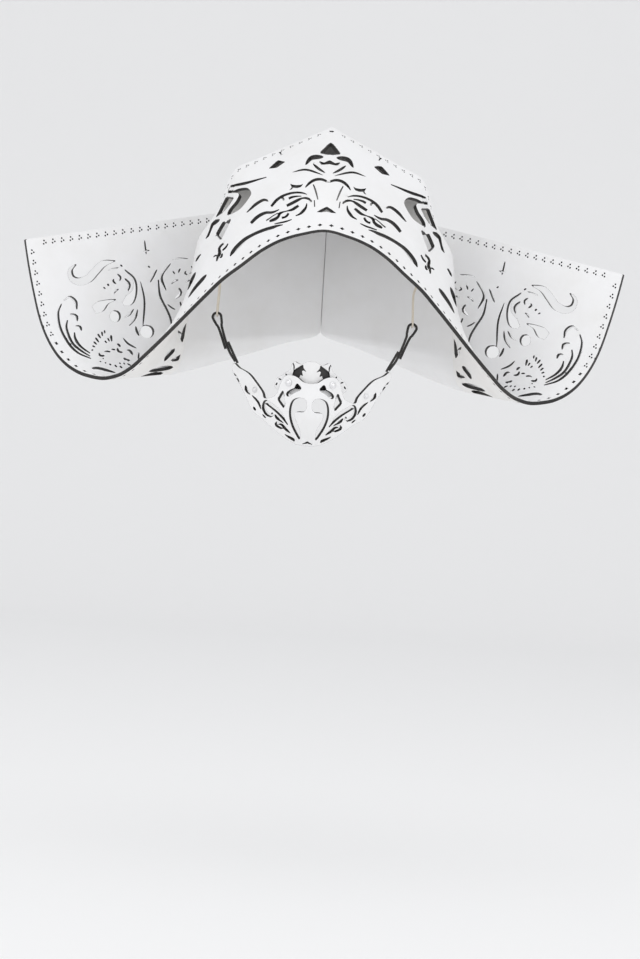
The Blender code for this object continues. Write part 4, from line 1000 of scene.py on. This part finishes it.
def make_back_strip(materials):
    """The plain strip over the seam between the two wing ends."""
    offset = 0.5 * HOOD_WALL + 2 * SEAM_GAP + 0.5 * BACK_WALL
    low = STATIONS[SEAM_LINE] + STRIP_LOW_SHORT
    grid = []
    for along in np.linspace(low, HALF_LENGTH - STRIP_HIGH_SHORT, 29):
        far, near = [hood_point(along, across) - offset * hood_normal(along, across)
                     for across in STRIP_SHARES]
        edge = near - far
        middle = near + edge * (-near[0] / edge[0])
        line = [far + (middle - far) * s for s in np.linspace(0, 1, 9)[:-1]]
        grid.append(line + [middle] + [p * np.array([-1, 1, 1]) for p in line[::-1]])
    grid_leather("back_strip_leather", grid, BACK_WALL, materials, "back_strip")


# The chin piece

def chin_frame(flat, lift):
    """Points of the chin surface and their outward normals."""
    x, z = flat[:, 0], flat[:, 1]
    curl = np.maximum(0.0, CURL_TOP - z)
    reach = np.hypot(x, CHIN_BLUNT)
    depth = CHIN_FRONT + CHIN_SWEEP * (reach - CHIN_BLUNT) + CURL_BOW * curl * curl
    n = np.stack([CHIN_SWEEP * x / reach, -np.ones(len(x)), -2 * CURL_BOW * curl], axis=-1)
    n /= np.linalg.norm(n, axis=1)[:, None]
    return np.stack([x + CHIN_ASIDE, depth, z], axis=-1) + lift * n, n


def make_chin_part(name, half, holes, middle_holes, lift, wall, materials, node):
    """A pierced piece of the chin's surface, from its right half and one side's holes."""
    outline = whole_shape(smooth_side(half))
    pairs = [eased(whole_shape(hole), 0.3) for hole in middle_holes]
    for hole in holes:
        pairs += [np.asarray(hole, float), flipped(hole)]
    rows = np.arange(-145, -80, CHIN_STEP)
    inner = [(x, z) for x in np.arange(-61, 62, CHIN_STEP) for z in rows]
    flat, faces, kind = pierced_sheet(outline, pairs, [], inner, CHIN_CLEAR)
    middle, normals = chin_frame(flat, lift)
    a, b, c = middle[faces[0]]
    if np.dot(np.cross(b - a, c - a), normals[faces[0][0]]) < 0:
        faces = faces[:, ::-1]
    leather_solid(name, middle, normals, faces, kind, wall, materials, node)


def make_chin(materials, lining):
    """The chin piece, the mouth plate behind its upper edge and the plate's black lining."""
    shanks = [dot_outline(*UPPER_RIVET, UPPER_HOLE, UPPER_HOLE, 14),
              dot_outline(*LOWER_RIVET, LOWER_HOLE, LOWER_HOLE, 14)]
    holes = [leaf_outline(r) for r in CHIN_LEAVES] + [band_outline(r) for r in CHIN_BANDS]
    holes += [rounded_loop(r[1:]) for r in CHIN_SCROLLS] + [eased(r[1:]) for r in CHIN_CUTS] + shanks
    make_chin_part("chin_leather", CHIN_OUTLINE, holes, [CHIN_NOTCH], 0.0, CHIN_WALL, materials,
                   "chin_piece")
    front = 0.5 * CHIN_WALL + SEAM_GAP
    holes = [leaf_outline(r) for r in PLATE_LEAVES] + [eased(r[1:], 0.3) for r in PLATE_CUTS] + shanks[:1]
    make_chin_part("mouth_plate_leather", PLATE_OUTLINE, holes, [], -front - 0.5 * PLATE_WALL, PLATE_WALL,
                   materials, "mouth_plate")
    make_chin_part("mouth_plate_lining", PLATE_OUTLINE, shanks[:1], [],
                   -front - PLATE_WALL - 0.5 * LINING_WALL, LINING_WALL, (lining,) * 4, None)


# Straps, elastics and rivets

def strap_depth(z):
    """How deep the leaning strap stands at a height."""
    return STRAP_LOW_DEPTH + (z - STRAP_LOW) * STRAP_LEAN


def strip_run(points, thickness):
    """Both faces of a strip seen from its edge, along a smooth run."""
    run = smooth_run(points, 6 * len(points))
    d = np.gradient(run, axis=0)
    d /= np.linalg.norm(d, axis=1)[:, None]
    side = np.stack([-d[:, 1], d[:, 0]], axis=1) * 0.5 * thickness
    return run + side, run - side


def strap_layer(run, side):
    """One closed layer of a strap from its run seen edge on: its points, faces and their materials."""
    left, right = strip_run(run, STRAP_WALL)
    outline = np.vstack([left, right[::-1]])
    flat, faces, _ = pierced_sheet(outline, [], [], [(0.0, 0.0)], 0.2)
    n = len(flat)
    edges = loose_edges(faces)
    half = 0.5 * STRAP_WIDTH
    rows = [np.stack([side * flat[:, 0] + CHIN_ASIDE, strap_depth(flat[:, 1]) + y, flat[:, 1]], axis=-1)
            for y in (-half, STRAP_BEVEL - half, half - STRAP_BEVEL, half)]
    front = faces if side > 0 else faces[:, ::-1]
    a, b = (edges[:, 0], edges[:, 1]) if side > 0 else (edges[:, 1], edges[:, 0])
    solid = front.tolist()
    kind = [2] * len(front)
    for k in range(3):
        p, q = k * n, (k + 1) * n
        solid += np.stack([b + p, a + p, a + q, b + q], axis=1).tolist()
        kind += [0 if k == 1 else 2] * len(a)
    solid += (front[:, ::-1] + 3 * n).tolist()
    kind += [2] * len(front)
    return np.vstack(rows), solid, kind


def make_strap(name, side, materials, node):
    """A strap folded into a loop below the eye, with a single foot and a short tail at the chin's arm."""
    eye = np.array(STRAP_EYE)
    end = np.array(STRAP_END)
    d = (end - eye) / np.linalg.norm(end - eye)
    across = np.array([-d[1], d[0]])
    radius = 0.5 * (LOOP_OUTER + LOOP_INNER) + LOOP_EASE
    turns = np.radians(np.linspace(0, 180, 7))
    loop = [eye + radius * (across * math.cos(a) - d * math.sin(a)) for a in turns]
    neck = eye + NECK_DOWN * d
    pinch = eye + PINCH_DOWN * d
    fold = [end + INNER_LAYER * across - INNER_SHORT * d, pinch + PINCH_ASIDE * across,
            neck + NECK_ASIDE * across] + loop
    fold += [neck - NECK_ASIDE * across, pinch - PINCH_ASIDE * across, end - OUTER_LAYER * across,
             np.array(STRAP_FOOT)]
    points, faces, kinds = [], [], []
    for run in (fold, STRAP_TAIL):
        layer, solid, kind = strap_layer(run, side)
        faces += [[i + len(points) for i in f] for f in solid]
        points += (layer * MM).tolist()
        kinds += kind
    dress(placed(name, smooth_mesh(name, points, faces, materials, kinds, 40)), node)


def lathe(name, place, way, profile, material, node, sides=40):
    """A turned shape: profile rows are radius and height along the way."""
    up = np.array([0.0, 0.0, 1.0])
    right = np.cross(up, way)
    right /= np.linalg.norm(right)
    up = np.cross(way, right)
    points = []
    for radius, height in profile:
        for i in range(sides):
            a = 2 * math.pi * i / sides
            points.append(place + way * height + radius * (right * math.cos(a) + up * math.sin(a)))
    faces = tube_faces(len(profile), sides, False)
    mesh = smooth_mesh(name, (np.array(points) * MM).tolist(), faces, (material,), sharp=38)
    dress(placed(name, mesh), node)


def make_rivet(name, spot, diameter, shank, material, node):
    """A rivet with a stepped rim and a low dome."""
    flat = np.array([spot], float)
    place, way = chin_frame(flat, 0.5 * CHIN_WALL + SEAM_GAP)
    r = 0.5 * diameter
    profile = [(SHANK_SHARE * r, -shank), (SHANK_SHARE * r, 0.0)]
    profile += [(share * r, height) for share, height in CAP_STEPS]
    for t in np.linspace(0, 1, 9)[:-1]:
        angle = t * math.pi / 2
        profile.append((DOME_SHARE * r * math.cos(angle), DOME_FOOT + DOME_RISE * math.sin(angle)))
    profile.append((DOME_TIP[0] * r, DOME_TIP[1]))
    lathe(name, place[0], way[0], profile, material, node)


def elastic_route(side):
    """The elastic's route: from inside the hood down through the strap's eye and back up."""
    eye_x, eye_z = STRAP_EYE
    x0 = side * eye_x + CHIN_ASIDE
    y0 = strap_depth(eye_z)
    low = eye_z + LOOP_INNER - SEAM_GAP - 0.5 * ELASTIC_THICKNESS
    first, second = STATIONS[FIRST_SIDE_LINE], STATIONS[FIRST_SIDE_LINE + 1]
    along = side * (first + ELASTIC_PART * (second - first))
    ends = []
    for across in ELASTIC_ENDS:
        n = hood_normal(along, across)
        top = hood_point(along, across) - n * (0.5 * HOOD_WALL + SEAM_GAP)
        ends.append((top, top - ELASTIC_LEAD * n))
    half = 0.5 * STRAP_WIDTH + ELASTIC_CLEAR
    near = x0 - side * ELASTIC_ASIDE
    keys = [ends[0][0], ends[0][1],
            (near, y0 - half + ELASTIC_ASIDE, ELASTIC_BEND), (x0, y0 - half, low + ELASTIC_RISE),
            (x0, y0 - half + CORNER_IN, low + CORNER_RISE), (x0, y0, low),
            (x0, y0 + half - CORNER_IN, low + CORNER_RISE), (x0, y0 + half, low + ELASTIC_RISE),
            (near, y0 + half - ELASTIC_ASIDE, ELASTIC_BEND), ends[1][1], ends[1][0]]
    keys = np.array([np.asarray(k, float) for k in keys])
    t = np.concatenate(([0.0], np.cumsum(np.linalg.norm(np.diff(keys, axis=0), axis=1))))
    return smooth_columns(t, keys, np.linspace(0, t[-1], int(t[-1] / ELASTIC_STEP)))


def make_elastic(name, side, material, node, sides=16):
    """Round elastic with its braided cover modelled as a crossing rise and fall."""
    path = elastic_route(side)
    d = np.gradient(path, axis=0)
    d /= np.linalg.norm(d, axis=1)[:, None]
    turn = np.array([1.0, 0.0, 0.0])
    points = []
    walked = 0.0
    for k, (p, way) in enumerate(zip(path, d)):
        turn = turn - (turn @ way) * way
        turn /= np.linalg.norm(turn)
        other = np.cross(way, turn)
        walked += 0.0 if k == 0 else float(np.linalg.norm(p - path[k - 1]))
        for i in range(sides):
            a = 2 * math.pi * i / sides
            weave = math.sin(WEAVE_TURNS * a + WEAVE_PITCH * walked)
            weave *= math.sin(WEAVE_TURNS * a - WEAVE_PITCH * walked)
            r = 0.5 * ELASTIC_THICKNESS * (WEAVE_BODY + WEAVE_RISE * weave)
            points.append(p + r * (turn * math.cos(a) + other * math.sin(a)))
    faces = tube_faces(len(path), sides, True)
    mesh = smooth_mesh(name, (np.array(points) * MM).tolist(), faces, (material,), sharp=60)
    dress(placed(name, mesh), node)


# Materials

def feed(tree, socket, value):
    """Gives a socket a plain value, or links it to another socket."""
    if isinstance(value, bpy.types.NodeSocket):
        tree.links.new(value, socket)
    else:
        socket.default_value = value


def group_tree(name, inputs, outputs):
    """A new shader group with its named inputs and outputs, and its two end nodes."""
    tree = bpy.data.node_groups.new(name, "ShaderNodeTree")
    for word, kind, value in inputs:
        socket = tree.interface.new_socket(name=word, in_out="INPUT", socket_type=kind)
        socket.default_value = value
    for word, kind in outputs:
        tree.interface.new_socket(name=word, in_out="OUTPUT", socket_type=kind)
    return tree, tree.nodes.new("NodeGroupInput"), tree.nodes.new("NodeGroupOutput")


def maths(tree, operation, a, b, clamp=False):
    node = tree.nodes.new("ShaderNodeMath")
    node.operation = operation
    node.use_clamp = clamp
    feed(tree, node.inputs[0], a)
    feed(tree, node.inputs[1], b)
    return node.outputs[0]


def mixed(tree, factor, first, second):
    node = tree.nodes.new("ShaderNodeMix")
    node.data_type = "RGBA"
    for place, value in ((0, factor), (6, first), (7, second)):
        feed(tree, node.inputs[place], value)
    return node.outputs[2]


def noise(tree, scale, detail, roughness, coordinates):
    node = tree.nodes.new("ShaderNodeTexNoise")
    node.inputs["Scale"].default_value = scale
    node.inputs["Detail"].default_value = detail
    node.inputs["Roughness"].default_value = roughness
    tree.links.new(coordinates, node.inputs["Vector"])
    return node.outputs["Fac"]


def leather_grain_group():
    """Fine calf grain: small cells with creases between them, and slow rises under them."""
    tree, source, result = group_tree(
        "leather grain",
        (("Cells", "NodeSocketFloat", 1400.0), ("Creases", "NodeSocketFloat", 0.5),
         ("Swell", "NodeSocketFloat", 0.4)),
        (("Height", "NodeSocketFloat"),))
    place = tree.nodes.new("ShaderNodeTexCoord").outputs["Object"]
    cells = tree.nodes.new("ShaderNodeTexVoronoi")
    cells.feature = "DISTANCE_TO_EDGE"
    tree.links.new(source.outputs["Cells"], cells.inputs["Scale"])
    tree.links.new(place, cells.inputs["Vector"])
    crease = maths(tree, "SMOOTH_MIN", cells.outputs["Distance"], 0.16)
    crease = maths(tree, "MULTIPLY", maths(tree, "DIVIDE", crease, 0.16), source.outputs["Creases"])
    slow = noise(tree, 160.0, 3.0, 0.6, place)
    swell = maths(tree, "MULTIPLY", slow, source.outputs["Swell"])
    tree.links.new(maths(tree, "ADD", crease, swell), result.inputs["Height"])
    return tree


def handling_group():
    """Colour after handling: slow yellowing and greying, and a darker line where the leather was cut."""
    tree, source, result = group_tree(
        "handling",
        (("Colour", "NodeSocketColor", (0.9, 0.9, 0.9, 1)), ("Soil", "NodeSocketColor", (0.7, 0.68, 0.62, 1)),
         ("Soil Amount", "NodeSocketFloat", 0.1), ("Edge Colour", "NodeSocketColor", (0.05, 0.05, 0.05, 1)),
         ("Edge Amount", "NodeSocketFloat", 1.0), ("Roughness", "NodeSocketFloat", 0.5)),
        (("Colour", "NodeSocketColor"), ("Roughness", "NodeSocketFloat")))
    place = tree.nodes.new("ShaderNodeTexCoord").outputs["Object"]
    slow = noise(tree, 22.0, 4.0, 0.62, place)
    patch = maths(tree, "MULTIPLY", maths(tree, "SUBTRACT", slow, 0.42, clamp=True), 4.0, clamp=True)
    soiled = mixed(tree, maths(tree, "MULTIPLY", patch, source.outputs["Soil Amount"]),
                   source.outputs["Colour"], source.outputs["Soil"])
    mark = tree.nodes.new("ShaderNodeAttribute")
    mark.attribute_name = "cut_edge"
    ragged = maths(tree, "MULTIPLY", maths(tree, "SUBTRACT", noise(tree, 900.0, 2.0, 0.6, place), 0.5), 0.5)
    close = maths(tree, "ADD", mark.outputs["Fac"], ragged)
    line = maths(tree, "MULTIPLY", maths(tree, "SUBTRACT", close, 0.72), 7.0, clamp=True)
    line = maths(tree, "MULTIPLY", line, source.outputs["Edge Amount"])
    tree.links.new(mixed(tree, line, soiled, source.outputs["Edge Colour"]), result.inputs["Colour"])
    shine = maths(tree, "MULTIPLY", maths(tree, "SUBTRACT", noise(tree, 45.0, 3.0, 0.6, place), 0.5), 0.25)
    tree.links.new(maths(tree, "ADD", source.outputs["Roughness"], shine), result.inputs["Roughness"])
    return tree


def put_group(tree, group, values):
    node = tree.nodes.new("ShaderNodeGroup")
    node.node_tree = group
    for word, value in values.items():
        node.inputs[word].default_value = value
    return node


def new_material(name):
    material = bpy.data.materials.new(name)
    material.use_nodes = True
    tree = material.node_tree
    return material, tree, tree.nodes["Principled BSDF"]


def bump_into(tree, shader, height, strength, distance):
    bump = tree.nodes.new("ShaderNodeBump")
    bump.inputs["Strength"].default_value = strength
    bump.inputs["Distance"].default_value = distance
    tree.links.new(height, bump.inputs["Height"])
    tree.links.new(bump.outputs["Normal"], shader.inputs["Normal"])


def handled_leather(name, groups, finish):
    """A new material with a leather finish's handling and grain placed in it, and its handled colour."""
    colour, soil, soil_amount, edge_amount, roughness, cells, relief, _ = finish
    material, tree, shader = new_material(name)
    hand = put_group(tree, groups["handling"], {
        "Colour": colour, "Soil": soil, "Soil Amount": soil_amount, "Edge Colour": BLACK,
        "Edge Amount": edge_amount, "Roughness": roughness})
    grain = put_group(tree, groups["grain"], {"Cells": cells, "Creases": 0.5, "Swell": 0.5})
    tree.links.new(hand.outputs["Roughness"], shader.inputs["Roughness"])
    bump_into(tree, shader, grain.outputs["Height"], relief, 0.0002)
    return material, tree, shader, hand.outputs["Colour"]


def leather_material(name, groups, finish):
    material, tree, shader, colour = handled_leather(name, groups, finish)
    tree.links.new(colour, shader.inputs["Base Color"])
    shader.inputs["Sheen Weight"].default_value = finish[-1]
    shader.inputs["Specular IOR Level"].default_value = 0.4
    return material


def crown_inside_material(groups):
    """The crown panel's inner side: the flesh side, with painted shade darkening it toward its top."""
    material, tree, shader, colour = handled_leather(
        "worn inside of the crown", groups, FINISHES["white flesh side"])
    # Painted shade: the flesh side's colour darkens with height toward the top of the crown
    height = tree.nodes.new("ShaderNodeSeparateXYZ")
    tree.links.new(tree.nodes.new("ShaderNodeTexCoord").outputs["Object"], height.inputs["Vector"])
    low, high = SHADE_FROM * MM, SHADE_TO * MM
    painted_shade = maths(tree, "DIVIDE", maths(tree, "SUBTRACT", height.outputs["Z"], low), high - low, clamp=True)
    tree.links.new(mixed(tree, painted_shade, colour, PAINTED_SHADE_GREY), shader.inputs["Base Color"])
    return material


def elastic_material():
    material, tree, shader = new_material("braided elastic")
    place = tree.nodes.new("ShaderNodeTexCoord").outputs["Object"]
    thread = noise(tree, 3000.0, 2.0, 0.6, place)
    colour = mixed(tree, thread, (0.50, 0.44, 0.35, 1), (0.80, 0.74, 0.64, 1))
    tree.links.new(colour, shader.inputs["Base Color"])
    tree.links.new(maths(tree, "ADD", maths(tree, "MULTIPLY", thread, 0.2), 0.6), shader.inputs["Roughness"])
    bump_into(tree, shader, thread, 0.4, 0.0001)
    shader.inputs["Sheen Weight"].default_value = 0.3
    return material


def rivet_material(groups):
    material, tree, shader = new_material("pale rivet")
    hand = put_group(tree, groups["handling"], {
        "Colour": (0.80, 0.80, 0.81, 1), "Soil": (0.50, 0.49, 0.48, 1), "Soil Amount": 0.4,
        "Edge Colour": (0.3, 0.3, 0.3, 1), "Edge Amount": 0.0, "Roughness": 0.30})
    tree.links.new(hand.outputs["Colour"], shader.inputs["Base Color"])
    tree.links.new(hand.outputs["Roughness"], shader.inputs["Roughness"])
    place = tree.nodes.new("ShaderNodeTexCoord").outputs["Object"]
    bump_into(tree, shader, noise(tree, 1500.0, 2.0, 0.5, place), 0.15, 0.0001)
    shader.inputs["Metallic"].default_value = 0.35
    shader.inputs["Coat Weight"].default_value = 0.4
    shader.inputs["Coat Roughness"].default_value = 0.15
    return material


# Studio

def make_sweep():
    """A pale paper floor that sweeps up into the backdrop."""
    start = SWEEP_BACK - SWEEP_RADIUS
    profile = [(SWEEP_FRONT, FLOOR_HEIGHT), (start, FLOOR_HEIGHT)]
    for a in np.radians(np.linspace(0, 90, 24)[1:]):
        profile.append((start + SWEEP_RADIUS * math.sin(a), FLOOR_HEIGHT + SWEEP_RADIUS * (1 - math.cos(a))))
    profile.append((SWEEP_BACK, SWEEP_TOP))
    points = [(x, y, z) for y, z in profile for x in (-SWEEP_HALF, SWEEP_HALF)]
    faces = [(2 * i, 2 * i + 1, 2 * i + 3, 2 * i + 2) for i in range(len(profile) - 1)]
    material, _, shader = new_material("pale paper")
    shader.inputs["Base Color"].default_value = (0.89, 0.89, 0.89, 1)
    shader.inputs["Roughness"].default_value = 0.9
    sweep = placed("studio_sweep", smooth_mesh("studio_sweep", points, faces, (material,)))


def make_lamps():
    """Soft lamps that the camera doesn't see."""
    for name, place, size, power in LAMPS:
        lamp = bpy.data.lights.new(name, "AREA")
        lamp.shape = "DISK"
        lamp.size = size
        lamp.energy = power
        light = placed(name, lamp)
        light.visible_camera = False
        way = np.array(LAMP_AIM) - np.array(place)
        light.matrix_world = looking(np.array(place), way / np.linalg.norm(way), np.array([0.0, 0.0, 1.0]))


def make_air():
    """Even pale light from all round, with plain tones."""
    world = bpy.data.worlds.new("studio air")
    bpy.context.scene.world = world
    world.use_nodes = True
    air = world.node_tree.nodes["Background"]
    air.inputs["Color"].default_value = (0.965, 0.97, 0.985, 1)
    air.inputs["Strength"].default_value = 0.86
    bpy.context.scene.view_settings.view_transform = "Standard"


def looking(place, way, up):
    """The placing of a camera or lamp that looks one way with its top near up."""
    right = np.cross(way, up)
    right /= np.linalg.norm(right)
    up = np.cross(right, way)
    return Matrix([[right[i], up[i], -way[i], place[i]] for i in range(3)] + [[0, 0, 0, 1]])


def make_camera():
    """Level view from in front and below, with the hood turned a little clockwise, as it sits on the head."""
    turned = math.radians(SIGHT_TURN)
    camera = bpy.data.cameras.new("studio_camera")
    camera.sensor_width = SENSOR_WIDTH
    camera.lens = SENSOR_WIDTH * (CHART_DEPTH - SIGHT_BACK) / (PICTURE_HEIGHT * PIXEL_SIZE)
    camera.clip_end = 40.0
    view = placed("studio_camera", camera)
    up = np.array([-math.sin(turned), 0.0, math.cos(turned)])
    place = np.array([SIGHT_ASIDE, SIGHT_BACK, SIGHT_HEIGHT]) * MM
    view.matrix_world = looking(place, np.array([0.0, 1.0, 0.0]), up)
    bpy.context.scene.camera = view


def make_cornette():
    """Every piece of the cornette, and the studio round it."""
    groups = {"grain": leather_grain_group(), "handling": handling_group()}
    sides = {name: leather_material(name, groups, finish) for name, finish in FINISHES.items()}
    flesh_side = sides["white flesh side"]
    edges = (sides["black painted edge"], sides["bare cut edge"])
    plain_side = sides["plain white leather"]
    leathers = (sides["white grain side"], flesh_side) + edges
    make_camera()
    make_hood(leathers)
    make_crown_back((plain_side, crown_inside_material(groups)) + edges)
    make_back_strip((plain_side, flesh_side) + edges)
    make_chin(leathers, sides["black lining"])
    elastic = elastic_material()
    rivet = rivet_material(groups)
    for word, side in (("left", 1), ("right", -1)):
        make_strap("strap_leather_" + word, side, leathers, "strap_" + word)
        make_elastic("elastic_cord_" + word, side, elastic, "elastic_" + word)
        make_rivet("upper_rivet_cap_" + word, (side * UPPER_RIVET[0], UPPER_RIVET[1]), RIVET_UPPER,
                   UPPER_SHANK, rivet, "upper_rivet_" + word)
        make_rivet("lower_rivet_cap_" + word, (side * LOWER_RIVET[0], LOWER_RIVET[1]), RIVET_LOWER,
                   LOWER_SHANK, rivet, "lower_rivet_" + word)
    make_sweep()
    make_lamps()
    make_air()


make_cornette()
